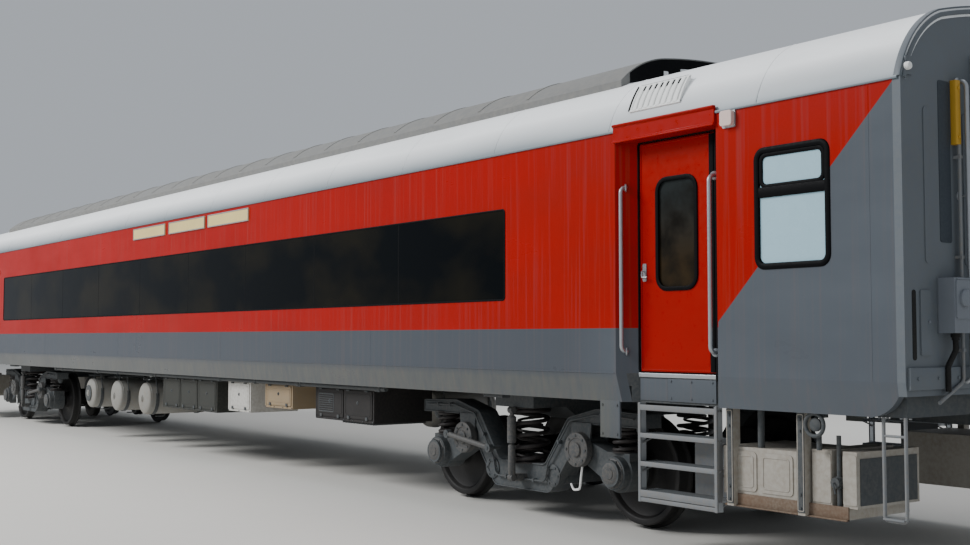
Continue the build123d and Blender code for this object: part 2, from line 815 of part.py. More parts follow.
# Centre couplers: pivot eye, shank, and a head with its guard arm and knuckle
for end, name in ((1, "coupler_front"), (-1, "coupler_rear")):
    tip = coupler_tip
    jaw = tip - coupler_jaw
    half_head = coupler_head_width / 2
    with BuildPart() as coupler:
        block(both(end, coupler_pivot, tip - coupler_head_length), (-coupler_shank / 2, coupler_shank / 2),
              (up(coupler_height - coupler_shank / 2), up(coupler_height + coupler_shank / 2)))
        with BuildSketch(Plane.XY.offset(up(coupler_height - coupler_head_height / 2))):
            with BuildLine():
                # head and guard arm in plan; the rear coupler is turned half round
                guard = [(tip - coupler_head_length, -coupler_shank / 2), (jaw - coupler_throat, -half_head),
                         (tip - coupler_nose, -half_head), (tip, coupler_nose - half_head), (tip, -coupler_throat),
                         (jaw, coupler_nose - coupler_throat), (jaw, half_head),
                         (jaw - coupler_throat, half_head), (tip - coupler_head_length, coupler_shank / 2)]
                Polyline(*[(end * along, end * across) for along, across in guard], close=True)
            make_face()
        extrude(amount=coupler_head_height)
        with BuildSketch(Plane.XY.offset(up(coupler_height - knuckle_height / 2))):
            with BuildLine():
                # a quarter round nose, its centre on the jaw line
                nose_y = half_head - coupler_jaw
                slant = coupler_jaw * math.sin(math.radians(45))
                knuckle = [(jaw, half_head), (jaw + slant, nose_y + slant), (tip, nose_y),
                           (tip - coupler_throat, coupler_throat), (jaw, coupler_throat)]
                knuckle = [(end * along, end * across) for along, across in knuckle]
                ThreePointArc(*knuckle[:3])
                Polyline(*knuckle[2:], knuckle[0])
            make_face()
        extrude(amount=knuckle_height)
        eye_plane = Plane((end * coupler_pivot, 0, up(coupler_height - coupler_shank / 2)))
        with BuildSketch(eye_plane):
            Circle(coupler_eye)
        extrude(amount=coupler_shank)
        with BuildSketch(eye_plane):
            Circle(coupler_pin + turning_gap)
        extrude(amount=coupler_shank, mode=Mode.SUBTRACT)
    coupler.part.label = name
    export_step(coupler.part, "parts/" + name + ".step")

# Destination boards, blank, three a side
board_places = (-520, 800, 2080)
board_length = 1180
board_height = 160
board_thickness = 12
board_drop = 130

with BuildPart() as destination_boards:
    for side in (-1, 1):
        for place in board_places:
            x = -side * place
            block((x - board_length / 2, x + board_length / 2),
                  both(side, half_width, half_width + board_thickness),
                  (up(cantrail - board_drop - board_height / 2), up(cantrail - board_drop + board_height / 2)))
destination_boards.part.label = "destination_boards"
export_step(destination_boards.part, "parts/destination_boards.step")

# Indicator lamps beside the doors
lamp_gap = 110
lamp_place = door_place + door_width / 2 + recess_margin + recess_flare + lamp_gap
lamp_size = 110
lamp_depth = 45
lamp_drop = 70

with BuildPart() as indicator_lamps:
    for end in (-1, 1):
        for side in (-1, 1):
            x = end * lamp_place
            block((x - lamp_size / 2, x + lamp_size / 2), both(side, half_width, half_width + lamp_depth),
                  (up(cantrail - lamp_drop - lamp_size / 2), up(cantrail - lamp_drop + lamp_size / 2)))
indicator_lamps.part.label = "indicator_lamps"
export_step(indicator_lamps.part, "parts/indicator_lamps.step")

# End wall boxes: jumper socket boxes beside the gangway
socket_place = 1165
socket_width = 200
socket_depth = 120
socket_low = 1610
socket_height = 350

with BuildPart() as end_boxes:
    for end in (-1, 1):
        for side in (-1, 1):
            block(both(end, half_length, half_length + socket_depth),
                  both(side, socket_place - socket_width / 2, socket_place + socket_width / 2),
                  (up(socket_low), up(socket_low + socket_height)))
end_boxes.part.label = "end_boxes"
export_step(end_boxes.part, "parts/end_boxes.step")

# Upright handrails and pipes on the end walls
end_rail_place = 1000
end_rail_low = 1300
end_rail_top = 3250
end_rail_stand = 70

with BuildPart() as end_handrails:
    for end in (-1, 1):
        for side in (-1, 1):
            y = side * end_rail_place
            near_x = end * half_length
            far_x = end * (half_length + end_rail_stand)
            route = [(near_x, y, up(end_rail_low)), (far_x, y, up(end_rail_low)),
                     (far_x, y, up(end_rail_top)), (near_x, y, up(end_rail_top))]
            with BuildLine() as rail_path:
                Polyline(*cut_corners(route, rail_bend))
            with BuildSketch(Plane(route[0], z_dir=(end, 0, 0))):
                RegularPolygon(rail_radius, tube_sides)
            sweep(path=rail_path.wires()[0], transition=Transition.RIGHT)
end_handrails.part.label = "end_handrails"
export_step(end_handrails.part, "parts/end_handrails.step")

# Shunter's stirrups hanging from the corners
stirrup_setback = 70
stirrup_width = 160
stirrup_bottom = 430
stirrup_bar = 24
stirrup_in = 60
stirrup_outer = half_length - stirrup_setback
stirrup_places = (stirrup_outer - stirrup_width, stirrup_outer)

with BuildPart() as stirrups:
    for end in (-1, 1):
        for side in (-1, 1):
            y = side * (half_width - turn_under_inset - stirrup_in)
            route = [(end * stirrup_places[0], y, up(body_bottom)), (end * stirrup_places[0], y, up(stirrup_bottom)),
                     (end * stirrup_places[1], y, up(stirrup_bottom)), (end * stirrup_places[1], y, up(body_bottom))]
            with BuildLine() as stirrup_path:
                Polyline(*cut_corners(route, rail_bend))
            with BuildSketch(Plane(route[0], z_dir=(0, 0, -1))):
                RegularPolygon(stirrup_bar / 2, tube_sides)
            sweep(path=stirrup_path.wires()[0], transition=Transition.RIGHT)
stirrups.part.label = "stirrups"
export_step(stirrups.part, "parts/stirrups.step")

# Bolsters under the floor, standing on the secondary springs
with BuildPart() as bolsters:
    for end in (-1, 1):
        with BuildSketch(Plane.YZ.offset(end * bogie_place - bolster_length / 2)):
            with BuildLine():
                reach = frame_middle + secondary_radius
                waist = frame_middle - secondary_radius
                keel = (waist * bolster_keel_length, up(bolster_bottom - bolster_keel))
                Polyline((reach, up(bolster_bottom)), (waist, up(bolster_bottom)), keel, mirrored(keel),
                         (-waist, up(bolster_bottom)), (-reach, up(bolster_bottom)),
                         (-reach, up(floor_bottom - bearer_depth)), (reach, up(floor_bottom - bearer_depth)),
                         close=True)
            make_face()
        extrude(amount=bolster_length)
bolsters.part.label = "bolsters"
export_step(bolsters.part, "parts/bolsters.step")

# Boxes hung under the floor: name, middle as a share of the way to the wheels, length, width across,
# set back of its outer face from the sole bar, depth of its bottom below the sill
hung_boxes = (
    ("battery_box", 0.0980, 1800, 750, 75, 470),
    ("charger_box", 0.3694, 640, 650, 75, 420),
    ("brake_box", 0.5549, 700, 650, 75, 330),
    ("inverter_box", 0.8149, 1250, 730, 95, 400),
)
box_hanger = 30
hanger_reach = 60
hanger_lap = 25
hanger_spots = (0.15, 0.85)

for name, share, length, width, inset, depth in hung_boxes:
    start = share * bogie_room - length / 2
    outside = sole_outer - inset
    inside = outside - width
    with BuildPart() as hung_box:
        for turn in (1, -1):
            block(both(turn, start, start + length), both(-turn, inside, outside),
                  (up(body_bottom - depth), up(body_bottom) - box_hanger))
            for spot in hanger_spots:
                x = turn * (start + spot * length)
                block((x - box_hanger / 2, x + box_hanger / 2),
                      both(-turn, outside - hanger_reach, sole_outer - sole_width + hanger_lap),
                      (up(body_bottom) - box_hanger, up(body_bottom)))
    hung_box.part.label = name
    export_step(hung_box.part, "parts/" + name + ".step")

# Air reservoirs lying across the coach
reservoir_bearers = (-3, -2, -1)
reservoir_radius = 230
reservoir_inset = 75
reservoir_length = 1000
reservoir_height = 690
reservoir_inner = sole_outer - reservoir_inset - reservoir_length
strap_margin = 150
strap_outer = reservoir_inner + reservoir_length - strap_margin
strap_places = (reservoir_inner + strap_margin, strap_outer)
strap_width = 40
strap_lap = 20

with BuildPart() as air_reservoirs:
    for turn in (1, -1):
        for bearer in reservoir_bearers:
            place = bearer * bearer_pitch
            with BuildSketch(Plane.XZ.offset(turn * reservoir_inner)):
                with Locations((turn * place, up(reservoir_height))):
                    Circle(reservoir_radius)
            extrude(amount=turn * reservoir_length)
            for y in strap_places:
                block((turn * place - box_hanger, turn * place + box_hanger),
                      both(-turn, y - strap_width / 2, y + strap_width / 2),
                      (up(reservoir_height + reservoir_radius) - strap_lap, up(floor_bottom - bearer_depth)))
air_reservoirs.part.label = "air_reservoirs"
export_step(air_reservoirs.part, "parts/air_reservoirs.step")

# Tank groups at the four corners: a tray hung from posts, with a tank and two small boxes on it
tank_inset = 75
tank_width = 690
tank_outer = sole_outer - tank_inset
tank_inner = tank_outer - tank_width
tray_gap = 85
tray_start = door_place + door_width / 2 + tray_gap
tray_length = 1020
tray_low = 380
tray_top = 460
post_width = 60
post_inset = 20
post_offset = 690
post_place = tray_start + post_offset
# start from the tray's inner end, length, top height
tray_boxes = ((-50, 660, 800), (740, 160, 830), (990, 110, 830))

with BuildPart() as corner_tanks:
    for end in (-1, 1):
        for side in (-1, 1):
            block(both(end, tray_start, tray_start + tray_length), both(side, tank_inner, tank_outer),
                  (up(tray_low), up(tray_top)))
            for start, length, top in tray_boxes:
                x = tray_start + start
                block(both(end, x, x + length), both(side, tank_inner, tank_outer), (up(tray_top), up(top)))
            for x in (tray_start + post_width, post_place):
                block(both(end, x - post_width / 2, x + post_width / 2),
                      both(side, tank_outer - post_inset, sole_outer - post_inset), (up(tray_low), up(body_bottom)))
corner_tanks.part.label = "corner_tanks"
export_step(corner_tanks.part, "parts/corner_tanks.step")

# Pipe runs under the sills
pipe_start = -5000
pipe_end = 5600
pipe_radius = 25
pipe_place = sole_outer - 35

with BuildPart() as brake_pipes:
    for side in (-1, 1):
        with BuildSketch(Plane.YZ.offset(pipe_start)):
            with Locations((side * pipe_place, up(body_bottom) - pipe_radius)):
                Circle(pipe_radius)
        extrude(amount=pipe_end - pipe_start)
brake_pipes.part.label = "brake_pipes"
export_step(brake_pipes.part, "parts/brake_pipes.step")


# Bogie frames: two cranked side frames joined by two round transoms
frame_bend = 110
notch_shoulder = 0.6


def frame_outline(x):
    """The side frame seen from the side: a low middle between two cranked arms."""
    end_x = axle_gap + frame_overhang
    notch = pivot_radius + pivot_clearance
    notch_edge = pivot_place - notch
    # from the low middle out and up to where the pivot bracket begins
    low_run = [(frame_flat, frame_bottom), (notch_edge, pivot_height - pivot_plate_drop)]
    end_run = [(notch_edge, pivot_height - pivot_plate_drop), (notch_edge, pivot_height + pivot_plate_drop),
               (pivot_place - notch * notch_shoulder, pivot_height + notch),
               (pivot_place + notch, frame_end_bottom), (end_x, frame_end_bottom),
               (end_x, frame_shoulder - frame_nose), (frame_crest, frame_shoulder)]
    top_run = [(frame_crest, frame_shoulder), (frame_knee, frame_knee_height), (frame_crank, spring_seat)]
    low_run, end_run, top_run = [[(along, up(height)) for along, height in run] for run in (low_run, end_run, top_run)]

    def placed(points):
        return [(x + along, height) for along, height in points]

    FilletPolyline(*placed([mirrored(point) for point in reversed(low_run)] + low_run), radius=frame_bend)
    Polyline(*placed(end_run))
    FilletPolyline(*placed(top_run + [mirrored(point) for point in reversed(top_run)]), radius=frame_bend)
    Polyline(*placed([mirrored(point) for point in end_run]))


def build_bogie_frame(end):
    x = end * bogie_place
    with BuildPart() as frame:
        with BuildSketch(*[Plane.XZ.offset(-side * frame_middle - frame_width / 2) for side in (-1, 1)]):
            with BuildLine():
                frame_outline(x)
            make_face()
        extrude(amount=frame_width)
        for edge in (-1, 1):
            with BuildSketch(Plane.XZ.offset(-frame_middle)):
                with Locations((x + edge * transom_place, up(transom_height))):
                    Circle(transom_radius)
            extrude(amount=2 * frame_middle)
            pivot_x = x + edge * pivot_place
            plate_low = up(pivot_height - pivot_plate_drop)
            for side in (-1, 1):
                for cheek in (-1, 1):
                    y = side * frame_middle + cheek * (frame_width + pivot_plate) / 2
                    with BuildSketch(Plane.XZ.offset(-y - pivot_plate / 2)):
                        with BuildLine():
                            Polyline((pivot_x - pivot_plate_top, up(frame_end_bottom)),
                                     (pivot_x - pivot_plate_foot, plate_low),
                                     (pivot_x + pivot_plate_foot, plate_low),
                                     (pivot_x + pivot_plate_top, up(frame_end_bottom)), close=True)
                        make_face()
                    extrude(amount=pivot_plate)
                with BuildSketch(Plane.XZ.offset(-side * frame_middle - frame_width / 2 - pivot_plate)):
                    with Locations((pivot_x, up(pivot_height))):
                        RegularPolygon(pivot_pin, tube_sides)
                extrude(amount=frame_width + 2 * pivot_plate)
    return frame


# Control arms with their axle boxes and end covers
def build_control_arms(end):
    arm_width = frame_width - 2 * arm_clearance
    with BuildPart() as arms:
        for edge in (-1, 1):
            pivot_x = end * bogie_place + edge * pivot_place
            axle_x = end * bogie_place + edge * axle_gap
            for side in (-1, 1):
                inner = side * (frame_middle - frame_width / 2 + arm_clearance)
                with BuildSketch(Plane.XZ.offset(-inner)):
                    with Locations((axle_x, up(wheel_radius))):
                        Circle(axle_box_radius)
                    with Locations((pivot_x, up(pivot_height))):
                        Circle(pivot_radius)
                    with BuildLine():
                        seat = up(wheel_radius + axle_box_radius)
                        reach = edge * (primary_radius + spring_pad)
                        Polyline((pivot_x, up(pivot_height + arm_waist)), (axle_x - reach, seat),
                                 (axle_x + reach, seat), (axle_x + reach, up(wheel_radius)),
                                 (axle_x, up(wheel_radius - axle_box_radius)),
                                 (pivot_x, up(pivot_height - arm_waist)), close=True)
                    make_face()
                    with Locations((pivot_x, up(pivot_height))):
                        RegularPolygon(pivot_pin + pin_clearance, tube_sides, mode=Mode.SUBTRACT)
                extrude(amount=-side * arm_width)
                with BuildSketch(Plane.XZ.offset(-side * axle_box_inner)):
                    with Locations((axle_x, up(wheel_radius))):
                        Circle(axle_box_boss)
                extrude(amount=-side * (axle_box_outer - axle_box_inner))
                with BuildSketch(Plane.XZ.offset(-side * axle_box_outer)):
                    with Locations((axle_x, up(wheel_radius))):
                        Circle(cover_radius)
                extrude(amount=-side * cover_depth)
                bore_start = axle_box_inner - axle_box_mouth
                with BuildSketch(Plane.XZ.offset(-side * bore_start)):
                    with Locations((axle_x, up(wheel_radius))):
                        Circle(journal_radius + turning_gap)
                extrude(amount=-side * (journal_end + turning_gap - bore_start), mode=Mode.SUBTRACT)
    return arms


# Coil springs as columns of rings, two at the bolster and four over the axle boxes
def build_springs(end):
    middle = end * bogie_place
    seat = wheel_radius + axle_box_radius
    # place along, low end, high end, radius, turns
    rows = [(middle, spring_seat, bolster_bottom - turning_gap, secondary_radius, secondary_turns),
            (middle - axle_gap, seat, frame_end_bottom, primary_radius, primary_turns),
            (middle + axle_gap, seat, frame_end_bottom, primary_radius, primary_turns)]
    with BuildPart() as springs:
        for x, low, high, radius, turns in rows:
            wire = radius * spring_wire
            pitch = (high - low - wire) / turns
            spots = [(x, side * frame_middle) for side in (-1, 1)]
            with BuildSketch(Plane.XY.offset(up(low))):
                with Locations(*spots):
                    RegularPolygon(radius - wire, spring_sides)
            extrude(amount=high - low)
            with BuildSketch(*[Plane.XY.offset(up(low) + index * pitch) for index in range(turns + 1)]):
                with Locations(*spots):
                    RegularPolygon(radius, spring_sides)
            extrude(amount=wire)
    return springs


# Dampers: an upright one at each spring
damper_radius = 32
damper_offset = 20
damper_low = 300
damper_foot = 40
damper_top_gap = 30


def build_dampers(end):
    with BuildPart() as dampers:
        for side in (-1, 1):
            y = side * (frame_middle + secondary_radius + damper_radius + spring_pad)
            x = end * bogie_place + damper_offset
            with BuildSketch(Plane((x, y, up(damper_low)))):
                Circle(damper_radius)
            extrude(amount=bolster_bottom - damper_low - damper_top_gap)
            block((x - damper_radius, x + damper_radius), both(side, frame_middle + frame_width / 2, side * y),
                  (up(damper_low), up(damper_low + damper_foot)))
    return dampers


# Brakes: a pair of long arms and their cylinder at each disc
brake_arm = 40
brake_arm_gap = 6
brake_arm_low = 120
brake_arm_high = 40
brake_reach = 200
brake_body_length = 160
brake_body_width = 160
brake_body_margin = 10


def build_brakes(end):
    with BuildPart() as brakes:
        for edge in (-1, 1):
            axle_x = end * bogie_place + edge * axle_gap
            start = end * bogie_place + edge * (transom_place + transom_radius)
            stop = axle_x - edge * brake_reach
            for side in (-1, 1):
                y = side * disc_place
                for cheek in (-1, 1):
                    arm_y = y + cheek * (disc_width / 2 + brake_arm_gap + brake_arm / 2)
                    block(both(edge, edge * start, edge * stop), (arm_y - brake_arm / 2, arm_y + brake_arm / 2),
                          (up(wheel_radius - brake_arm_low), up(wheel_radius - brake_arm_high)))
                block(both(edge, edge * start, edge * start + brake_body_length),
                      (y - brake_body_width / 2, y + brake_body_width / 2),
                      (up(wheel_radius - brake_arm_low - brake_body_margin),
                       up(wheel_radius - brake_arm_high + brake_body_margin)))
    return brakes


for end, name in ((1, "front"), (-1, "rear")):
    bogie_frame = build_bogie_frame(end)
    bogie_frame.part.label = "bogie_frame_" + name
    export_step(bogie_frame.part, "parts/bogie_frame_" + name + ".step")
    control_arms = build_control_arms(end)
    control_arms.part.label = "control_arms_" + name
    export_step(control_arms.part, "parts/control_arms_" + name + ".step")
    springs = build_springs(end)
    springs.part.label = "springs_" + name
    export_step(springs.part, "parts/springs_" + name + ".step")
    dampers = build_dampers(end)
    dampers.part.label = "dampers_" + name
    export_step(dampers.part, "parts/dampers_" + name + ".step")
    brakes = build_brakes(end)
    brakes.part.label = "brakes_" + name
    export_step(brakes.part, "parts/brakes_" + name + ".step")

# Wheelsets: axle, two dished wheels with inside flanges, and two brake discs
inner_face = back_to_back / 2
outer_face = inner_face + wheel_width
hub_middle = inner_face + wheel_width / 2
rim_radius = wheel_radius - rim_depth
# distance along the axle, radius
wheel_half = [
    (hub_middle - hub_width / 2, axle_radius), (hub_middle - hub_width / 2, hub_radius),
    (inner_face + dish_depth, rim_radius), (inner_face, rim_radius), (inner_face, wheel_radius + flange_height),
    (inner_face + flange_width, wheel_radius), (outer_face, wheel_radius - tread_fall),
    (outer_face, rim_radius), (outer_face - dish_depth, rim_radius), (hub_middle + hub_width / 2, hub_radius),
    (hub_middle + hub_width / 2, journal_radius), (journal_end, journal_radius),
]
wheelset_names = (("wheelset_front_outer", 1, 1), ("wheelset_front_inner", 1, -1),
                  ("wheelset_rear_inner", -1, -1), ("wheelset_rear_outer", -1, 1))

for name, end, outer in wheelset_names:
    axle_x = end * (bogie_place + outer * axle_gap)
    with BuildPart() as wheelset:
        with BuildSketch(Plane((axle_x, 0, up(wheel_radius)), x_dir=(0, 1, 0), z_dir=(1, 0, 0))):
            with BuildLine():
                Polyline((journal_end, 0), *reversed(wheel_half))
                Line(wheel_half[0], mirrored(wheel_half[0]))
                Polyline(*[mirrored(point) for point in wheel_half], (-journal_end, 0))
                Line((-journal_end, 0), (journal_end, 0))
            make_face()
        revolve(axis=Axis((axle_x, 0, up(wheel_radius)), (0, 1, 0)))
        for side in (-1, 1):
            with BuildSketch(Plane.XZ.offset(-side * disc_place - disc_width / 2)):
                with Locations((axle_x, up(wheel_radius))):
                    RegularPolygon(disc_radius, disc_sides)
            extrude(amount=disc_width)
    wheelset.part.label = name
    export_step(wheelset.part, "parts/" + name + ".step")
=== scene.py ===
import json
import math

import bpy
import numpy as np
from mathutils import Matrix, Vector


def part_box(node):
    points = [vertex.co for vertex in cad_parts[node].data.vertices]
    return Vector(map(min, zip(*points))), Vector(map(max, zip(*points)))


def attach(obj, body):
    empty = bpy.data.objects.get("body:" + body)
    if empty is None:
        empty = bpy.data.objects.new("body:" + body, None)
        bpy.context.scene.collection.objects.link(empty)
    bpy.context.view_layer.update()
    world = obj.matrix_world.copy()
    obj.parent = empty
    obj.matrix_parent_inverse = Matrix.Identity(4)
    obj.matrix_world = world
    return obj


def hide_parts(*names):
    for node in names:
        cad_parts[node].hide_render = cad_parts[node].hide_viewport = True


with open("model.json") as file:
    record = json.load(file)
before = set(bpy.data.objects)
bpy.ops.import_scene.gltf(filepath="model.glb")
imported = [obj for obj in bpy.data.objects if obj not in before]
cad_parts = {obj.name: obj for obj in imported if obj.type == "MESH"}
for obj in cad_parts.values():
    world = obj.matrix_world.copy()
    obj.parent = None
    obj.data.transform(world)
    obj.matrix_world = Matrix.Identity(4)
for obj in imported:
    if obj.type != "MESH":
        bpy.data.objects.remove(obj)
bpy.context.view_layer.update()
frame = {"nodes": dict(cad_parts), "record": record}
nodes = frame["nodes"]
print("frame loaded")

flange = 0.0285                     # rail level stands this far above the floor
sidePlane = 1.62                    # the side skin's distance from the middle
bodyEnd = 11.77                     # the end wall's outer face
door = {"middle": 9.705, "half": 0.39, "face": -1.48}      # along the coach, half width, the leaf's outer face
bogie = {"place": 7.45, "axle": 1.28, "side": 1.09, "outer": 1.185}     # outer: the side frame's outer face
ends = (1, -1)
sides = (-1, 1)                     # near, far


def up(height):                     # height above rail to height in the frame
    return height + flange


def heights(low, high):
    return up(low), up(high)


# Pairs of limits: before and after a place, a half length about it, a pair made wider, depths at the side wall.
def span(place, before, after):
    return place - before, place + after


def about(place, half):
    return span(place, half, half)


def grow(pair, by):
    return pair[0] - by, pair[1] + by


def atSkin(proud, sunk):
    return span(-sidePlane, proud, sunk)


# Shapes. A shell is (points, faces); pieces join several shells.


# A grid of points, row by row, joined by quads; rows or columns may wrap, and open ends may be capped.
def gridShell(points, wrapRows=False, wrapColumns=True, caps=True):
    rows, columns = points.shape[:2]
    index = np.arange(rows * columns).reshape(rows, columns)
    if wrapRows:
        index = np.vstack([index, index[:1]])
    if wrapColumns:
        index = np.hstack([index, index[:, :1]])
    quads = np.stack([index[:-1, :-1], index[:-1, 1:], index[1:, 1:], index[1:, :-1]], -1)
    faces = quads.reshape(-1, 4).tolist()
    if caps and not wrapRows:
        faces.append(index[0, :columns][::-1].tolist())
        faces.append(index[-1, :columns].tolist())
    return points.reshape(-1, 3), faces


# Shells stacked into one, each one's face numbers moved past the points before it.
def merge(shells):
    points, faces, start = [], [], 0
    for shellPoints, shellFaces in shells:
        points.append(shellPoints)
        faces += [[i + start for i in face] for face in shellFaces]
        start += len(shellPoints)
    return np.vstack(points), faces


def unit(vectors):
    return vectors / np.maximum(np.linalg.norm(vectors, axis=-1, keepdims=True), 1e-12)


def wholeTurn(count):
    return np.linspace(0, 2 * math.pi, count, endpoint=False)


# Points on the unit circle: (cos t, sin t).
def polar(turn):
    return np.stack([np.cos(turn), np.sin(turn)], -1)


# Flat points (y, z) at one x, and (x, z) at one y.
def atX(x, y, z):
    return np.stack([np.full(len(y), x), y, z], 1)


def atY(x, y, z):
    return np.stack([x, np.full(len(x), y), z], 1)


# A flat profile (a, b) carried along a path: point = path + a * across + b * normal,
# where across = tangent x normal and normal is the given direction made square to the tangent.
def sweep(path, profile, normal=(0, 0, 1), closed=False):
    path, profile = np.asarray(path, float), np.asarray(profile, float)
    tangent = unit(np.roll(path, -1, 0) - np.roll(path, 1, 0) if closed else np.gradient(path, axis=0))
    normals = np.broadcast_to(np.asarray(normal, float), path.shape)
    normals = unit(normals - tangent * (normals * tangent).sum(1, keepdims=True))
    across = np.cross(tangent, normals)
    points = path[:, None] + profile[None, :, :1] * across[:, None] + profile[None, :, 1:] * normals[:, None]
    return gridShell(points, wrapRows=closed)


# Circle: (r cos t, r sin t).
def circle(radius, count):
    return radius * polar(wholeTurn(count))


# Rectangle with quarter-circle corners: each corner's centre plus r (cos t, sin t).
def roundRect(width, height, radius, steps=3):
    corner = polar(np.linspace(0, math.pi / 2, steps)) * radius
    parts = []
    for quarter, (sx, sy) in enumerate(((1, 1), (-1, 1), (-1, -1), (1, -1))):
        c, s = polar(quarter * math.pi / 2)
        parts.append(corner @ [[c, s], [-s, c]] + [sx * (width / 2 - radius), sy * (height / 2 - radius)])
    return np.vstack(parts)


# Path through points with round corners: each corner is an arc tangent to both runs.
def roundPath(points, radius, steps=6):
    points = np.asarray(points, float)
    out = [points[:1]]
    for before, corner, after in zip(points[:-2], points[1:-1], points[2:]):
        inward, outward = unit(before - corner), unit(after - corner)
        half = math.acos(np.clip(inward @ outward, -1, 1)) / 2
        middle = corner + unit(inward + outward) * radius / math.sin(half)
        a = corner + inward * radius / math.tan(half) - middle
        b = corner + outward * radius / math.tan(half) - middle
        angle = math.acos(np.clip(unit(a) @ unit(b), -1, 1))
        t = np.linspace(0, 1, steps)[:, None]
        out.append(middle + (np.sin((1 - t) * angle) * a + np.sin(t * angle) * b) / math.sin(angle))
    return np.vstack(out + [points[-1:]])


# A straight bar: the profile carried from start to end. A rod is a round one.
def bar(start, end, profile, normal=(0, 0, 1)):
    return sweep(np.array([start, end], float), profile, normal)


def rod(start, end, radius, count=10, normal=(0, 0, 1)):
    return bar(start, end, circle(radius, count), normal)


# A flat bead with round edges along a path.
def bead(path, width, height, radius, normal=(1, 0, 0), closed=False):
    return sweep(path, roundRect(width, height, radius), normal, closed)


def tube(points, radius, bend=0.05, count=10, normal=(0, 0, 1)):
    return sweep(roundPath(points, bend), circle(radius, count), normal)


# A box between its limits on each axis, its edges along one axis rounded.
def block(x, y, z, radius=0.004, axis=0):
    low, high = np.sort(np.array([x, y, z], float), 1).T
    middle, size = (low + high) / 2, high - low
    start, end = middle.copy(), middle.copy()
    start[axis], end[axis] = low[axis], high[axis]
    wide, tall = size[0 if axis else 1], size[1 if axis == 2 else 2]
    return bar(start, end, roundRect(wide, tall, min(radius, wide * 0.45, tall * 0.45)),
               (0, 1, 0) if axis == 2 else (0, 0, 1))


# A raised plate with round corners on a face square to Y or X, between two depths.
def plateY(x, z, y, radius):
    middle = [sum(x) / 2, sum(z) / 2]
    return bar((middle[0], y[0], middle[1]), (middle[0], y[1], middle[1]),
               roundRect(abs(x[1] - x[0]), abs(z[1] - z[0]), radius, 5))


def plateX(y, z, x, radius):
    middle = [sum(y) / 2, sum(z) / 2]
    return bar((x[0], *middle), (x[1], *middle), roundRect(abs(y[1] - y[0]), abs(z[1] - z[0]), radius, 5))


# A rubber or metal frame: a bead carried round a rounded rectangle square to Y.
def frameLoop(x, z, y, radius, width, depth):
    flat = roundRect(abs(x[1] - x[0]), abs(z[1] - z[0]), radius, 6)
    path = atY(flat[:, 0] + sum(x) / 2, y, flat[:, 1] + sum(z) / 2)
    return bead(path, width, depth, min(width, depth) * 0.4, (0, 1, 0), True)


# A profile of (radius, distance along the axis) turned about the axis.
def lathe(origin, axis, profile, count, caps=True):
    axis = unit(np.asarray(axis, float))
    helper = [0, 0, 1.0] if abs(axis[2]) < 0.9 else [1.0, 0, 0]
    a = unit(np.cross(axis, helper))
    turn = polar(wholeTurn(count))
    ring = turn[:, :1] * a + turn[:, 1:] * np.cross(axis, a)
    profile = np.asarray(profile, float)
    points = np.asarray(origin, float) + profile[:, :1, None] * ring[None] + profile[:, 1:, None] * axis
    return gridShell(points, caps=caps)


# Copies of a six-sided bolt head at each place of an (n, 3) list.
def bolts(axis, places, radius=0.012, height=0.009):
    points, faces = lathe((0, 0, 0), axis, [(radius, 0), (radius, height * 0.8), (radius * 0.8, height)], 6)
    places = np.asarray(places, float)
    grown = (points[None] + places[:, None]).reshape(-1, 3)
    return grown, [[i + n * len(points) for i in face] for n in range(len(places)) for face in faces]


# A ring of places round a centre, in the plane square to Y.
def ringPlaces(x, y, z, radius, count, turn=0.0):
    ring = radius * polar(turn + wholeTurn(count))
    return atY(x + ring[:, 0], y, z + ring[:, 1])


# Shells of one corner, side or end, copied to the others, or turned half round about the vertical.
def mirrored(shells, signs):
    return [(points * sign, faces) for sign in signs for points, faces in shells]


def corners(shells):
    return mirrored(shells, [[end, -side, 1] for end in ends for side in sides])


def bothEnds(shells):
    return mirrored(shells, [[end, 1, 1] for end in ends])


def bothSides(shells):
    return mirrored(shells, [[1, -side, 1] for side in sides])


def halfTurn(shells):
    return mirrored(shells, [[turn, turn, 1] for turn in (1, -1)])


# One piece: its shells as a smooth mesh with sharp edges kept, riding on a body. The slot names its material,
# unless it has a finish of its own.
def makePiece(name, shells, slot, body="coach", replaces=(), finish=None, bevel=None):
    points, faces = merge(shells)
    mesh = bpy.data.meshes.new(name)
    mesh.from_pydata(points.tolist(), [], faces)
    mesh.validate()
    piece = bpy.data.objects.new(name, mesh)
    bpy.context.scene.collection.objects.link(piece)
    bpy.context.view_layer.objects.active = piece
    piece.select_set(True)
    bpy.ops.object.mode_set(mode="EDIT")
    bpy.ops.mesh.select_all(action="SELECT")
    bpy.ops.mesh.normals_make_consistent(inside=False)
    bpy.ops.object.mode_set(mode="OBJECT")
    piece.select_set(False)
    mesh.shade_smooth()
    mesh.set_sharp_from_angle(angle=math.radians(40))
    if bevel:
        edge = piece.modifiers.new("edge", "BEVEL")
        edge.width = bevel
        edge.segments = 2
        edge.limit_method = "ANGLE"
    mesh.materials.append(materials[finish or slot])
    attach(piece, body)
    if replaces:
        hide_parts(*replaces)


# Materials, all from Object coordinates.


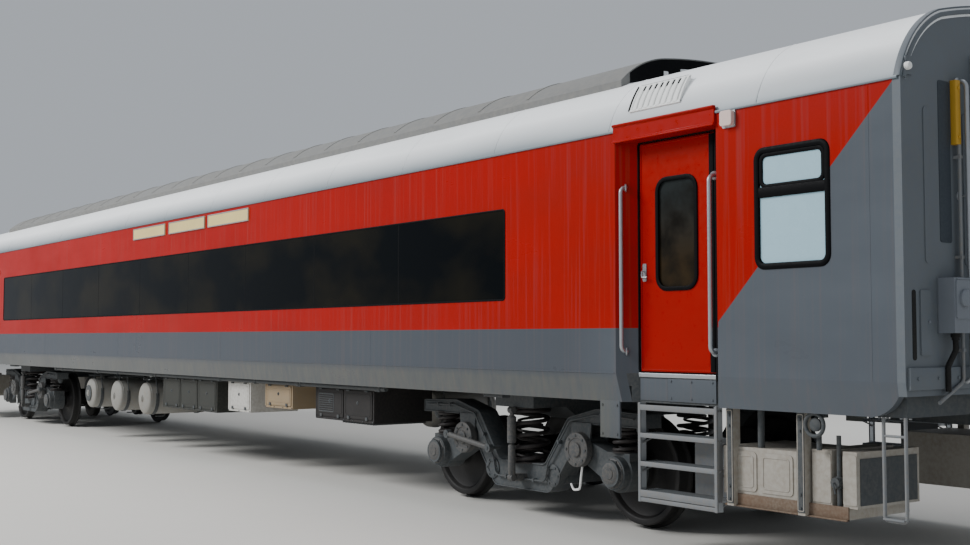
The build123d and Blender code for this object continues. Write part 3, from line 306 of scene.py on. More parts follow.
class Graph:
    def __init__(self, name):
        self.material = bpy.data.materials.new(name)
        self.material.use_nodes = True
        self.tree = self.material.node_tree
        self.tree.nodes.clear()
        self.shader = self.add("BsdfPrincipled")
        self.link(self.shader.outputs[0], self.add("OutputMaterial").inputs["Surface"])
        coordinates = self.add("TexCoord").outputs
        self.place, self.normal = coordinates["Object"], coordinates["Normal"]

    def add(self, kind):
        return self.tree.nodes.new("ShaderNode" + kind)

    def link(self, a, b):
        self.tree.links.new(a, b)

    def put(self, node, **values):
        for key, value in values.items():
            socket = node.inputs[key.replace("_", " ")]
            if isinstance(value, bpy.types.NodeSocket):
                self.link(value, socket)
            else:
                socket.default_value = value

    def axis(self, which, vector=None):
        split = self.add("SeparateXYZ")
        self.link(vector or self.place, split.inputs[0])
        return split.outputs[which]

    def math(self, operation, *values):
        node = self.add("Math")
        node.operation = operation
        for socket, value in zip(node.inputs, values):
            if isinstance(value, bpy.types.NodeSocket):
                self.link(value, socket)
            else:
                socket.default_value = value
        return node.outputs[0]

    def noise(self, scale, detail, stretch=(1, 1, 1)):
        mapping, node = self.add("Mapping"), self.add("TexNoise")
        self.put(mapping, Vector=self.place, Scale=stretch)
        self.put(node, Vector=mapping.outputs[0], Scale=scale, Detail=detail, Roughness=0.55)
        return node.outputs["Fac"]

    def ramp(self, value, low, high, fromLow, fromHigh):
        node = self.add("MapRange")
        self.put(node, Value=value, From_Min=fromLow, From_Max=fromHigh, To_Min=low, To_Max=high)
        return node.outputs["Result"]

    def mix(self, factor, a, b):
        node = self.add("Mix")
        node.data_type = "RGBA"
        for socket, value in ((node.inputs[0], factor), (node.inputs[6], a), (node.inputs[7], b)):
            if isinstance(value, bpy.types.NodeSocket):
                self.link(value, socket)
            else:
                socket.default_value = (*value, 1)
        return node.outputs[2]

    def bump(self, height, strength, distance):
        node = self.add("Bump")
        self.put(node, Height=height, Strength=strength, Distance=distance)
        self.link(node.outputs[0], self.shader.inputs["Normal"])

    def finish(self, colour, roughness, metallic=0.0, shine=0.3):
        self.put(self.shader, Base_Color=colour, Roughness=roughness, Metallic=metallic, Specular_IOR_Level=shine)
        return self.material


# sRGB 0-255 to linear
def tone(r, g, b):
    c = np.array([r, g, b]) / 255
    return tuple(np.where(c <= 0.04045, c / 12.92, ((c + 0.055) / 1.055) ** 2.4).tolist())


def scaled(colour, by):
    return tuple(v * by for v in colour)


paint = {
    "red": (0.37, 0.0030, 0.0006), "grey": tone(84, 90, 97), "greyMiddle": tone(74, 79, 86),
    "skirt": tone(99, 100, 95), "lining": tone(176, 178, 172), "streak": tone(120, 100, 92),
    "lineHeight": up(1.656), "skirtHeight": up(1.29),
    "diagonalLow": (10.25, up(1.70)), "diagonalHigh": (11.72, up(3.20)), "doorEdge": 10.245,
}


# Red over grey; at each end the grey climbs outward along a slanted line. Height against
# max(band line, slanted line) chooses the colour, and dust rises from the skirt.
def bodyPaint():
    g = Graph("bodyPaint")
    along = g.math("ABSOLUTE", g.axis(0))
    height = g.axis(2)
    (x0, z0), (x1, z1) = paint["diagonalLow"], paint["diagonalHigh"]
    slant = g.math("ADD", g.math("MULTIPLY", g.math("SUBTRACT", along, x0), (z1 - z0) / (x1 - x0)), z0)
    slant = g.math("MULTIPLY", slant, g.math("GREATER_THAN", along, paint["doorEdge"]))
    line = g.math("MAXIMUM", slant, paint["lineHeight"])
    red = g.ramp(g.math("SUBTRACT", height, line), 0, 1, -0.002, 0.002)
    cloud = g.noise(0.9, 5, (1, 1, 2.5))
    grain = g.noise(14, 3, (1, 1, 0.25))
    patches = g.ramp(cloud, 0, 1, 0.35, 0.7)
    redTone = g.mix(patches, paint["red"], scaled(paint["red"], 0.86))
    greyTone = g.mix(patches, paint["grey"], scaled(paint["grey"], 1.12))
    greyTone = g.mix(g.ramp(along, 0.8, 0, 8.6, 9.3), greyTone, paint["greyMiddle"])
    base = g.mix(red, greyTone, redTone)
    skirt = g.ramp(height, 1, 0, paint["skirtHeight"] - 0.05, paint["skirtHeight"] + 0.02)
    skirt = g.math("MULTIPLY", skirt, g.ramp(along, 1, 0.15, 9.0, 9.2))
    base = g.mix(g.math("MULTIPLY", skirt, g.ramp(grain, 0.35, 0.8, 0.3, 0.7)), base, paint["skirt"])
    base = g.mix(g.ramp(g.noise(5, 4, (6, 6, 0.12)), 0, 0.16, 0.5, 0.75), base, paint["streak"])
    inward = g.math("MULTIPLY", g.axis(1), g.axis(1, g.normal))     # below zero on a wall's or door's inner side
    base = g.mix(g.ramp(inward, 1, 0, -1.2, -1.0), base, paint["lining"])
    g.bump(g.noise(0.55, 2, (1, 1, 1.4)), 0.12, 0.05)
    return g.finish(base, g.ramp(cloud, 0.26, 0.38, 0.3, 0.7), shine=0.12)


# Silver coving with a painted highlight: blue-grey near the gutter, brightening with height to near white above, as
# if lit from the sky.
def covingPaint():
    g = Graph("covingPaint")
    cloud = g.noise(0.8, 5, (0.4, 1, 1))
    rise = g.math("ADD", g.axis(2), g.math("MULTIPLY", cloud, 0.10))
    # painted highlight: the colour brightens with height towards near white
    base = g.mix(g.ramp(rise, 0, 1, up(3.27), up(3.52)), tone(116, 127, 134), tone(252, 254, 255))
    base = g.mix(g.ramp(cloud, 0, 0.25, 0.5, 0.75), base, tone(160, 164, 166))
    return g.finish(base, 0.4, 0.05, 0.45)


def glassDark():
    g = Graph("glassDark")
    cloud = g.noise(0.7, 3, (1, 1, 1.6))
    # painted reflection: warm brown clouds over the dark glass stand for the trees mirrored in it
    base = g.mix(g.ramp(cloud, 0, 1, 0.42, 0.62), tone(6, 9, 12), tone(26, 24, 18))
    g.bump(g.noise(0.8, 1), 0.05, 0.05)
    return g.finish(base, 0.08, shine=0.05)


# Door glass: a painted reflection, brown-green below and grey-green above, in soft clouds.
def glassDoor():
    g = Graph("glassDoor")
    base = g.mix(g.ramp(g.axis(2), 0, 1, up(2.15), up(2.65)), tone(50, 40, 26), tone(40, 44, 44))
    base = g.mix(g.ramp(g.noise(3.5, 3), 0, 1, 0.4, 0.62), base, tone(24, 22, 18))
    return g.finish(base, 0.12, shine=0.08)


# Paint, rubber or bare metal: a colour that varies in soft clouds, with dust in its grain.
def surface(name, colour, rough, vary, scale, dust=None, dustShare=0, bump=0.06, metallic=0.0, shine=0.3):
    g = Graph(name)
    cloud = g.noise(scale, 5)
    grain = g.noise(scale * 12, 3)
    base = g.mix(g.ramp(cloud, 0, 1, 0.3, 0.7), colour, scaled(colour, 1 - vary))
    if dust:
        amount = g.math("MULTIPLY", g.ramp(grain, 0.25, 1, 0.35, 0.65), g.ramp(cloud, 0.3, dustShare * 2, 0.3, 0.7))
        base = g.mix(amount, base, tone(*dust))
    if bump:
        g.bump(grain, bump, 0.004)
    return g.finish(base, g.ramp(grain, rough - 0.07, rough + 0.1, 0.3, 0.7), metallic, shine)


dust = (142, 132, 118)
finishes = (        # slot or finish, colour, roughness, variation, scale, dust, its share, bump, metallic, shine
    ("roof_paint", (118, 119, 119), 0.75, 0.2, 1.2, (140, 138, 132), 0.3),
    ("end_paint", (98, 106, 114), 0.5, 0.12, 1.6, (112, 114, 114), 0.2, 0),
    ("glass_frosted", (172, 207, 221), 0.25, 0.06, 0.8, None, 0, 0.02),
    ("rubber", (24, 25, 27), 0.6, 0.3, 6, (70, 68, 64), 0.15, 0.06, 0, 0.15),
    ("steel_tube", (176, 180, 184), 0.35, 0.1, 8, None, 0, 0.06, 0.7),
    ("frame_dark", (64, 71, 76), 0.65, 0.3, 3, (112, 110, 106), 0.24, 0.15),
    ("box_dark", (44, 48, 46), 0.65, 0.2, 2.4, (92, 88, 80), 0.16, 0.06),
    ("box_pale", (178, 174, 166), 0.6, 0.14, 2.4, (140, 128, 110), 0.3, 0.08),
    # wheel steel made near black as painted shade: the wheels stand in deep shade
    ("wheel_steel", (24, 25, 27), 0.55, 0.3, 5, (62, 58, 54), 0.16, 0.2, 0.2),
    ("spring_steel", (34, 35, 38), 0.55, 0.3, 6, (92, 82, 76), 0.16, 0.1),
    ("board_cream", (226, 204, 140), 0.4, 0.08, 3, None, 0, 0.03),
    ("lamp_lens", (232, 208, 200), 0.2, 0.08, 8, None, 0, 0.02),
    ("unit_metal", (150, 154, 156), 0.45, 0.15, 3, dust, 0.2, 0.05, 0.5),
    ("coupler_iron", (66, 62, 58), 0.7, 0.3, 6, (96, 78, 62), 0.35, 0.3),
    ("yellowPaint", (196, 152, 48), 0.45, 0.15, 5, None, 0, 0.05),
    ("brownPaint", (108, 84, 66), 0.7, 0.3, 4, dust, 0.3, 0.15),
    ("finWhite", (242, 243, 241), 0.5, 0.05, 6, None, 0, 0),
    # black rubber, also used as painted shade in the louvre gaps, the crown's end openings and beside the door leaf
    ("sealRubber", (9, 10, 13), 0.55, 0.3, 6, None, 0, 0, 0, 0.08),
    ("boxBlack", (32, 32, 34), 0.7, 0.2, 3, (84, 78, 72), 0.12, 0.06),
    ("boxWhite", (208, 207, 202), 0.55, 0.1, 2.4, dust, 0.2, 0.06),
    ("boxBeige", (158, 136, 104), 0.65, 0.2, 3, dust, 0.3, 0.1),
    ("tankGrey", (146, 147, 144), 0.55, 0.16, 2.4, dust, 0.25, 0.06),
    # flat dark grey for the strip beside each gangway: painted shade
    ("stripGrey", (56, 64, 72), 0.55, 0.12, 4, None, 0, 0),
    ("socketGrey", (120, 126, 134), 0.45, 0.12, 4, None, 0, 0.04),
    ("coverPaint", (66, 71, 76), 0.55, 0.2, 4, dust, 0.14, 0.1),
    ("ladderPaint", (124, 130, 136), 0.55, 0.18, 4, dust, 0.22, 0.08),
)
materials = {
    "body_paint": bodyPaint(), "coving_paint": covingPaint(), "glass_dark": glassDark(), "glassDoor": glassDoor(),
    "door_paint": surface("doorPaint", paint["red"], 0.32, 0.12, 1.4, bump=0, shine=0.12),
}
for name, colour, *rest in finishes:
    first, *others = name.split("_")
    materials[name] = surface(first + "".join(word.title() for word in others), tone(*colour), *rest)
print("materials made")

slotOf = {row["node"]: row["material_slot"] for row in frame["record"]["subparts"]}
finishOf = slotOf | {"inverter_box": "boxBlack", "charger_box": "boxWhite", "brake_box": "boxBeige",
                     "end_boxes": "socketGrey"}             # CAD pieces whose finish differs from their slot's
for name, node in nodes.items():
    if name.startswith("door_pane"):
        finishOf[name] = "glassDoor"
    node.data.materials.clear()
    node.data.materials.append(materials[finishOf[name]])

# Side skin: gutter, seals round the glass, seams


def sideTrim():
    size = {"gutter": up(3.214), "band": heights(1.918, 2.709), "bandHalf": 7.7445, "pitch": 1.721, "seam": 11.53,
            "panelSeams": (-5.2, -1.7, 1.9, 5.5)}
    gutter = [block(about(0, bodyEnd - 0.02), atSkin(0.012, 0.002), span(size["gutter"], 0.012, 0.008))]
    makePiece("roofGutter", bothSides(gutter), "coving_paint")
    window = about(0, size["bandHalf"] + 0.004), grow(size["band"], 0.004)
    seals = [frameLoop(*window, -sidePlane, 0.03, 0.016, 0.012)]
    for x in (np.arange(-4, 4) + 0.5) * size["pitch"]:
        seals.append(block(about(x, 0.0065), atSkin(0.0005, 0.007), size["band"], 0.001, 2))
    makePiece("windowSeals", bothSides(seals), "rubber", finish="sealRubber")
    seams = [block(about(end * size["seam"], 0.003), atSkin(0.0012, 0.001), heights(1.305, 3.2), 0.001, 2)
             for end in ends]
    for x in size["panelSeams"]:
        seams.append(block(about(x, 0.002), atSkin(0.0008, 0.001), heights(1.305, 1.66), 0.0005, 2))
    seams.append(block(about(0, 9.15), atSkin(0.0025, 0.001), heights(1.297, 1.309), 0.002))
    makePiece("skinSeams", bothSides(seams), "body_paint")


# Roof: ribs over the crown, rims at the ends, fans

coving = {"radius": 0.715, "low": 15.1, "high": 69.5}       # the arc above the side wall, angles in degrees
covingCentre = [sidePlane, up(3.216)] - coving["radius"] * polar(math.radians(coving["low"]))


# Radius of an arc over a chord: (half chord^2 + rise^2) / (2 rise).
def arcRadius(half, rise):
    return (half ** 2 + rise ** 2) / (2 * rise)


# Outline of the roof at an end, from one cantrail over to the other: the coving arc, then the low roof's arc.
def roofOutline(grown=0.0):
    turn = np.radians(np.linspace(coving["low"], coving["high"], 14))
    side = covingCentre + (coving["radius"] + grown) * polar(turn)
    shoulder = covingCentre + coving["radius"] * polar(turn[-1])
    rise = 0.150
    radius = arcRadius(shoulder[0], rise)
    y = np.linspace(side[-1, 0], -side[-1, 0], 26)[1:-1]
    low = np.stack([y, shoulder[1] + rise + grown - radius + np.sqrt(radius ** 2 - y ** 2)], 1)
    return np.vstack([side, low, side[::-1] * [-1, 1]])


def roofTrim():
    for name, grown, x, wide, tall, radius in (("roofRims", 0.004, bodyEnd - 0.022, 0.014, 0.05, 0.005),
                                               ("roofRimSeals", -0.03, bodyEnd + 0.004, 0.03, 0.02, 0.006)):
        makePiece(name, bothEnds([bead(atX(x, *roofOutline(grown).T), wide, tall, radius)]), "end_paint")
    seams = [bead(atX(x, *roofOutline()[:14].T), 0.006, 0.012, 0.0025) for x in np.arange(-10.6, 10.7, 1.515)]
    makePiece("covingSeams", bothSides(seams), "coving_paint")
    size = {"lean": math.radians(8), "sideRadius": 0.898, "face": 8.85, "shoulder": 1.1801, "foot": up(3.6994),
            "low": up(3.8494), "stays": ((-0.72, 0.05), (-0.33, 0.09), (0.02, 0.04), (0.41, 0.07), (0.80, 0.05))}
    low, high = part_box("roof_crown")
    top, edge, half, face = high.z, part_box("roof_crown_sides")[1].z, (high.y - low.y) / 2, size["face"]
    # the crown's top: a wide arc in the middle and tighter ones at its sides
    y = np.linspace(-1.2, 1.2, 41)
    arc, side = half / math.sin(size["lean"]), size["sideRadius"]
    centreY, centreZ = half - side * math.sin(size["lean"]), edge - side * math.cos(size["lean"])
    height = np.where(np.abs(y) <= half, top - arc + np.sqrt(arc ** 2 - y ** 2),
                      centreZ + np.sqrt(np.maximum(side ** 2 - (np.abs(y) - centreY) ** 2, 0)))
    # dark panels filling the openings in the crown's two ends, painted shade of the hollow behind them, with pale
    # stays
    radius = arcRadius(size["shoulder"], size["low"] - size["foot"])
    across, upper = y[1:-1], height[1:-1] - 0.012
    lower = size["low"] - radius + np.sqrt(radius ** 2 - across ** 2) + 0.010
    panel = [atX(x, across, z) for x, z in ((face - 0.001, lower), (face + 0.004, lower),
                                            (face + 0.004, upper), (face - 0.001, upper))]
    makePiece("crownEnds", bothEnds([gridShell(np.stack(panel, 1))]), "rubber", finish="sealRubber")
    stays = [bead(atX(face + 0.006, across, lower * 0.55 + upper * 0.45)[10:29], 0.020, 0.010, 0.003)]
    for place, wide in size["stays"]:
        foot, head = np.interp(place, across, lower), np.interp(place, across, upper)
        stays.append(block((face, face + 0.012), about(place, wide / 2), (foot - 0.004, foot + (head - foot) * 0.4)))
    makePiece("crownStays", bothEnds(stays), "coving_paint")
    height = np.minimum(height, top - 0.0065)
    ribs = [bead(atX(x, y, height), 0.012, 0.03, 0.004) for x in np.arange(-8.3, 8.31, 0.755)]
    makePiece("crownRibs", ribs, "roof_paint")


def roofUnits():
    size = {"middle": 9.91, "spread": 0.515, "radius": 0.29, "top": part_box("air_conditioners")[1].z}
    guards, blades, panels = [], [], []
    for y in about(0, size["spread"]):
        place = np.array([size["middle"], y, size["top"]])
        for radius in np.linspace(0.05, size["radius"] + 0.004, 9):
            ring = np.insert(radius * polar(wholeTurn(40)), 2, 0.012, 1) + place
            guards.append(sweep(ring, circle(0.003, 6), closed=True))
        for angle in np.linspace(0, math.pi, 4, endpoint=False):
            reach = np.array([*polar(angle), 0]) * (size["radius"] + 0.01)
            guards.append(rod(place - reach + [0, 0, 0.008], place + reach + [0, 0, 0.008], 0.004, 6))
        guards.append(lathe(place, (0, 0, 1), [(0.29, 0), (0.31, 0), (0.31, 0.014), (0.30, 0.018), (0.29, 0.014)],
                            48, False))
        blades.append(lathe(place, (0, 0, 1), [(0.07, -0.03), (0.07, -0.004), (0.05, 0)], 20))
        for c, s in polar(wholeTurn(5)):        # blades: the chord's pitch falls from the hub to the tip
            along, chord = np.linspace(0.06, 0.27, 6)[:, None], np.linspace(-0.06, 0.06, 5)
            twist = np.radians(38 - 60 * along)
            across, rise = np.cos(twist) * chord, np.sin(twist) * chord * 0.25 - 0.02
            face = np.stack([along * c - across * s, along * s + across * c, rise], -1) + place
            blades.append(gridShell(np.concatenate([face, (face - [0, 0, 0.004])[:, ::-1]], 1)))
    for x in (9.12, 10.7):
        for y in (-0.5, 0.5):
            panels.append(block(about(x, 0.13), about(y, 0.4), span(size["top"], 0.001, 0.008), 0.004, 1))
    panels.append(bolts((0, 0, 1), [(x, y, size["top"]) for x in (9.01, 10.81) for y in np.linspace(-0.9, 0.9, 7)],
                        0.01, 0.008))
    makePiece("fanGuards", bothEnds(guards), "steel_tube")
    makePiece("fanBlades", bothEnds(blades), "box_dark")
    makePiece("unitPanels", bothEnds(panels), "unit_metal")


# Louvre panels on the coving: a pale frame and slanted fins, with black backing and beads between them as painted
# shade in the gaps
def louvres():
    size = {"middle": 9.57, "half": 0.26, "low": 27.5, "high": 45.5, "fins": 8, "pitch": 0.0625, "proud": 0.032}
    middle, half, foot, head = size["middle"], size["half"], size["low"], size["high"]

    # points over the coving, where the panel leans out from its foot to its head
    def arc(x, grown, low=foot, high=head, proud=size["proud"]):
        degrees = np.linspace(low, high, 10)
        radius = coving["radius"] + grown + proud * (degrees - foot) / (head - foot)
        y, z = (covingCentre + radius[:, None] * polar(np.radians(degrees))).T
        return atX(x, -y, z)

    # a rail along the coach at one angle of the coving
    def rail(x, degrees, radius, wide, tall):
        c, s = polar(math.radians(degrees))
        y, z = covingCentre + radius * polar(math.radians(degrees))
        return bar((x[0], -y, z), (x[1], -y, z), roundRect(wide, tall, 0.005), (0, -c, s))

    fins = [bead(arc(middle + (i - 3.5) * size["pitch"], 0.009), 0.018, 0.042, 0.006) for i in range(size["fins"])]
    fins.append(bead(arc(middle, 0.004), 0.006, 0.49, 0.002))
    for x in about(middle, half):
        fins.append(bead(arc(x, 0.006), 0.016, 0.02, 0.005))
    for x in about(middle, half):       # cheeks that close the panel's two sides down to the coving
        inner, outer, thick = arc(x, -0.002, proud=0), arc(x, 0.008), np.array([0.006, 0, 0])
        fins.append(gridShell(np.stack([inner - thick, inner + thick, outer + thick, outer - thick], 1)))
    for degrees, proud in ((foot, 0), (head, size["proud"])):
        fins.append(rail(about(middle, 0.27), degrees, 0.721 + proud, 0.024, 0.016))
    makePiece("louvreFins", corners(fins), "coving_paint", replaces=("roof_louvres",), finish="finWhite")
    rows = arc(middle - half, 0.0015)
    far = rows + [2 * half, 0, 0]
    lift = np.insert(unit(rows[:, 1:] - covingCentre * [-1, 1]), 0, 0, 1) * 0.002
    # black backing behind the fins as painted shade in the gaps, a round bead along the inner edge and a rail above
    # the head
    shadeBacking = [gridShell(np.stack([rows, far, far + lift, rows + lift], 1)),
               sweep(arc(middle - half - 0.020, 0.008), circle(0.011, 10), (1, 0, 0)),
               rail(span(middle, 0.27, 0.235), head + 1.6, 0.733, 0.016, 0.044)]
    # black beads at the top of each gap: painted shade under the fins
    for i in range(size["fins"] - 1):
        gap = arc(middle + (i - 3) * size["pitch"], 0.009, head - 4.2, head - 1.2)
        shadeBacking.append(bead(gap, 0.017, 0.019, 0.004))
    makePiece("louvreGaps", corners(shadeBacking), "rubber", finish="sealRubber")


# Door surroundings and leaves


def doorHoods():
    size = {"low": up(3.118), "half": 0.535}
    profile = np.array([(0, 0), (0.030, -0.004), (0.034, 0.004), (0.030, 0.012), (0.020, 0.020), (0.018, 0.118),
                        (0.032, 0.128), (0.036, 0.136), (0.030, 0.145), (0, 0.145)])
    y, z = -sidePlane - profile[:, 0], size["low"] + profile[:, 1]
    hood = gridShell(np.stack([atX(x, y, z) for x in about(door["middle"], size["half"])]))
    makePiece("doorHoods", corners([hood]), "door_paint", replaces=("door_hoods",), bevel=0.003)


def doorTrim():
    size = {"leaf": heights(1.32, 3.10), "window": heights(1.96, 2.80), "windowHalf": 0.20, "handle": 0.345}
    middle, half, face = door["middle"], door["half"], door["face"]
    low, high = size["leaf"]
    edge = middle + half
    # fixed parts: seal round the doorway, sill strip, stepped panel under it
    seal = [frameLoop(about(middle, half + 0.016), grow(size["leaf"], 0.016), face - 0.004, 0.03, 0.018, 0.016),
            # black strip beside the leaf's edge: partly a rubber seal, partly painted shade of the jamb
            block((edge + 0.004, edge + 0.026), span(face, 0.014, 0.004), heights(1.262, 3.11), 0.006, 2),
            block(span(edge, 0.046, 0.010), span(face, 0.010, 0.002), heights(1.262, 1.312), 0.006, 2)]
    makePiece("doorwaySeals", corners(seal), "rubber", finish="sealRubber")
    sill = [block(about(middle, half + 0.01), span(face, 0.02, 0.002), (low - 0.045, low - 0.012))]
    makePiece("doorSills", corners(sill), "steel_tube")
    heads = [(middle + x, face - 0.012, z) for x in (-0.06, 0.15, 0.36) for z in heights(1.12, 1.25)]
    under = [block((middle - half - 0.005, middle - 0.10), span(face, 0.008, 0.002), heights(1.095, 1.27)),
             block((middle - 0.095, edge + 0.005), span(face, 0.012, 0.002), heights(1.095, 1.27)),
             bolts((0, -1, 0), heads, 0.009, 0.006)]
    makePiece("sillPanels", corners(under), "body_paint")
    hand = middle - size["handle"]
    window = about(middle, size["windowHalf"] + 0.004), grow(size["window"], 0.004)
    seals = [frameLoop(*window, face - 0.003, 0.095, 0.034, 0.018),
             frameLoop(*window, face + 0.043, 0.095, 0.034, 0.014),
             block((edge - 0.050, edge - 0.004), span(face, 0.009, 0.001), grow(size["leaf"], -0.006), 0.004, 2)]
    panels = [plateY(about(middle, 0.33), (low + 0.05, low + 0.50), span(face, 0.002, 0.001), 0.03),
              frameLoop(about(middle, half - 0.012), grow(size["leaf"], -0.012), face - 0.001, 0.02, 0.010, 0.006)]
    metal = [plateY(about(hand, 0.020), heights(2.02, 2.16), span(face, 0.006, 0.001), 0.012),
             tube([(hand, face, up(2.10)), (hand, face - 0.035, up(2.10)), (hand, face - 0.035, up(2.05)),
                   (hand + 0.055, face - 0.035, up(2.05))], 0.007, 0.012, 8, (1, 0.3, 0)),
             lathe((hand, face - 0.004, up(2.045)), (0, -1, 0), [(0.011, 0), (0.011, 0.005), (0.008, 0.007)], 16)]
    for name, end, side in (("near_front", 1, -1), ("near_rear", -1, -1), ("far_front", 1, 1), ("far_rear", -1, 1)):
        for prefix, shells, slot, finish in (("doorWindowSeal_", seals, "rubber", "sealRubber"),
                                             ("doorPressings_", panels, "door_paint", None),
                                             ("doorHandle_", metal, "steel_tube", None)):
            makePiece(prefix + name, mirrored(shells, [[end, -side, 1]]), slot, "door_" + name, finish=finish)


def handrails():
    size = {"spread": 0.465, "door": heights(1.473, 2.763), "radius": 0.016, "stand": 1.622,
            "slope": (0.140, 0.130), "endY": 1.0, "end": heights(1.3, 3.25), "rungs": heights(1.9, 2.5),
            "stirrup": (11.54, 11.70), "step": up(0.43), "top": up(1.08)}
    (low, high), (run, rise) = size["door"], size["slope"]
    foot = door["face"] - 0.076 * run / rise - 0.001
    rails = []
    for edge in (-1, 1):
        x, y = door["middle"] + edge * size["spread"], -size["stand"]
        rails.append(tube([(x, foot, low), (x, y, low), (x, y, high), (x, foot, high)], size["radius"], 0.045, 14,
                          (edge, 0.2, 0)))
        for z in size["door"]:
            rails.append(lathe((x, foot - 0.002, z), (edge * run, -rise, 0),
                               [(0.032, -0.004), (0.032, 0.006), (0.026, 0.009)], 18))
    makePiece("doorRails", corners(rails), "steel_tube", replaces=("door_handrails",))
    low, high = size["end"]
    rails, root, out = [], bodyEnd - 0.001, bodyEnd + 0.07
    for y in about(0, size["endY"]):
        rails.append(tube([(root, y, low), (out, y, low), (out, y, high), (root, y, high)], size["radius"], 0.045, 14,
                          (0, 1, 0)))
        for z in (low, *size["rungs"], high):
            rails.append(lathe((bodyEnd, y, z), (1, 0, 0), [(0.03, 0), (0.03, 0.006), (0.022, 0.01)], 18))
        for z in size["rungs"]:
            rails.append(rod((bodyEnd, y, z), (out, y, z), 0.009, normal=(0, 1, 0)))
    makePiece("endRails", bothEnds(rails), "steel_tube", replaces=("end_handrails",))
    y, (start, stop) = -1.525, size["stirrup"]
    low, high = size["step"], size["top"]
    bars = [tube([(start, y, high), (start, y, low), (stop, y, low), (stop, y, high)], 0.012, 0.03, 12, (0, 1, 0)),
            rod((start, y, up(0.96)), (stop, y, up(0.96)), 0.009),
            block((start + 0.005, stop - 0.005), about(y, 0.03), heights(0.435, 0.447), 0.003),
            bolts((0, 0, -1), [(x, y, up(1.078)) for x in (11.51, 11.57, 11.67, 11.735)], 0.01, 0.008)]
    makePiece("stirrupBars", corners(bars), "frame_dark", replaces=("stirrups",), finish="ladderPaint")


def lavatoryWindows():
    size = {"middle": 10.91, "half": 0.32, "low": up(2.05), "high": up(2.90), "vent": up(2.585)}
    middle, half, vent = size["middle"], size["half"], size["vent"]
    shells = [frameLoop(about(middle, half - 0.021), (size["low"] + 0.021, size["high"] - 0.021), -sidePlane + 0.010,
                        0.066, 0.048, 0.044),
              block(about(middle, half - 0.03), atSkin(0.006, 0.012), about(vent, 0.037), 0.008),
              frameLoop(about(middle, half - 0.056), (vent + 0.040, size["high"] - 0.052), -sidePlane + 0.008, 0.05,
                        0.034, 0.020)]
    makePiece("lavatoryRubbers", corners(shells), "rubber", replaces=("lavatory_frames",), finish="sealRubber")


def boardsAndLamps():
    size = {"places": (-0.52, 0.80, 2.08), "half": 0.59, "z": up(3.086), "tall": 0.08, "lamp": (10.368, up(3.146))}
    frames = [frameLoop(about(x, size["half"] - 0.006), about(size["z"], size["tall"] - 0.006), -sidePlane - 0.013,
                        0.008, 0.014, 0.008) for x in size["places"]]
    makePiece("boardFrames", halfTurn(frames), "steel_tube")
    x, z = size["lamp"]
    base = plateY(about(x, 0.062), about(z, 0.066), atSkin(0.010, 0.001), 0.016)
    makePiece("lampBases", corners([base]), "steel_tube")
    path = [(x, -sidePlane - depth, z) for depth in (0.009, 0.034, 0.042, 0.045)]
    lens = sweep(path, roundRect(0.11, 0.11, 0.02, 5))
    makePiece("lampLenses", corners([lens]), "lamp_lens", replaces=("indicator_lamps",), bevel=0.006)


sideTrim()
roofTrim()
roofUnits()
louvres()
doorHoods()
doorTrim()
handrails()
lavatoryWindows()
boardsAndLamps()
print("body trim made")

# Bogies


# A coil spring: r (cos a, sin a) and a height that eases in and out so both end turns lie flat.
def coil(x, y, low, high, radius, wire, turns, hand):
    t = np.linspace(0, 1, int(turns * 26) + 1)
    flat = 0.75 / turns
    height = low + wire / 2 + (high - low - wire) * np.clip((t - flat) / (1 - 2 * flat), 0, 1)
    path = np.column_stack([radius * polar(hand * 2 * math.pi * turns * t) + [x, y], height])
    return sweep(path, circle(wire / 2, 8))


def springs(end, name):
    table = (           # places from the bogie's middle, seats, washer's thickness, profile and facets, coils
        ((0,), heights(0.44, 0.9495), 0.014, [(0.19, 0), (0.19, 0.010), (0.185, 0.014)], 36,
         ((0.170, 0.038, 5.6, 1), (0.110, 0.026, 7.5, -1))),
        (about(0, -bogie["axle"]), heights(0.6225, 0.85), 0.012, [(0.12, 0), (0.12, 0.009), (0.116, 0.012)], 30,
         ((0.104, 0.030, 4.2, 1), (0.062, 0.018, 5.4, -1))),
    )
    shells, seats = [], []
    for side in sides:
        y = side * bogie["side"]
        for places, (low, high), thick, washer, facets, coils in table:
            for place in places:
                x = end * bogie["place"] + place
                shells += [coil(x, y, low + thick, high - thick, *row) for row in coils]
                seats += [lathe((x, y, z), (0, 0, 1), washer, facets) for z in (low, high - thick)]
    makePiece("coilSprings_" + name, shells + seats, "spring_steel", "bogie_" + name, ("springs_" + name,))


wheelProfile = [                    # radius, distance along the axle
    (0.092, 0.7785), (0.124, 0.7785), (0.130, 0.784), (0.136, 0.800), (0.170, 0.816), (0.250, 0.832), (0.340, 0.838),
    (0.378, 0.832), (0.392, 0.818), (0.400, 0.806), (0.408, 0.8005), (0.4720, 0.8), (0.4815, 0.803), (0.4858, 0.810),
    (0.4858, 0.816), (0.4800, 0.823), (0.4680, 0.830), (0.4610, 0.838), (0.4578, 0.848), (0.4568, 0.868),
    (0.4548, 0.908), (0.4520, 0.922), (0.4470, 0.927), (0.408, 0.927), (0.400, 0.923), (0.392, 0.910), (0.378, 0.884),
    (0.340, 0.870), (0.250, 0.866), (0.170, 0.872), (0.142, 0.888), (0.132, 0.910), (0.130, 0.942), (0.124, 0.9485),
    (0.092, 0.9485),
]
discHalf = [(0.10, 0.050), (0.145, 0.050), (0.15, 0.054), (0.314, 0.054), (0.32, 0.050), (0.32, 0.026), (0.30, 0.022)]
discProfile = [(r, 0.43 - d) for r, d in discHalf] + [(r, 0.43 + d) for r, d in discHalf[::-1]]
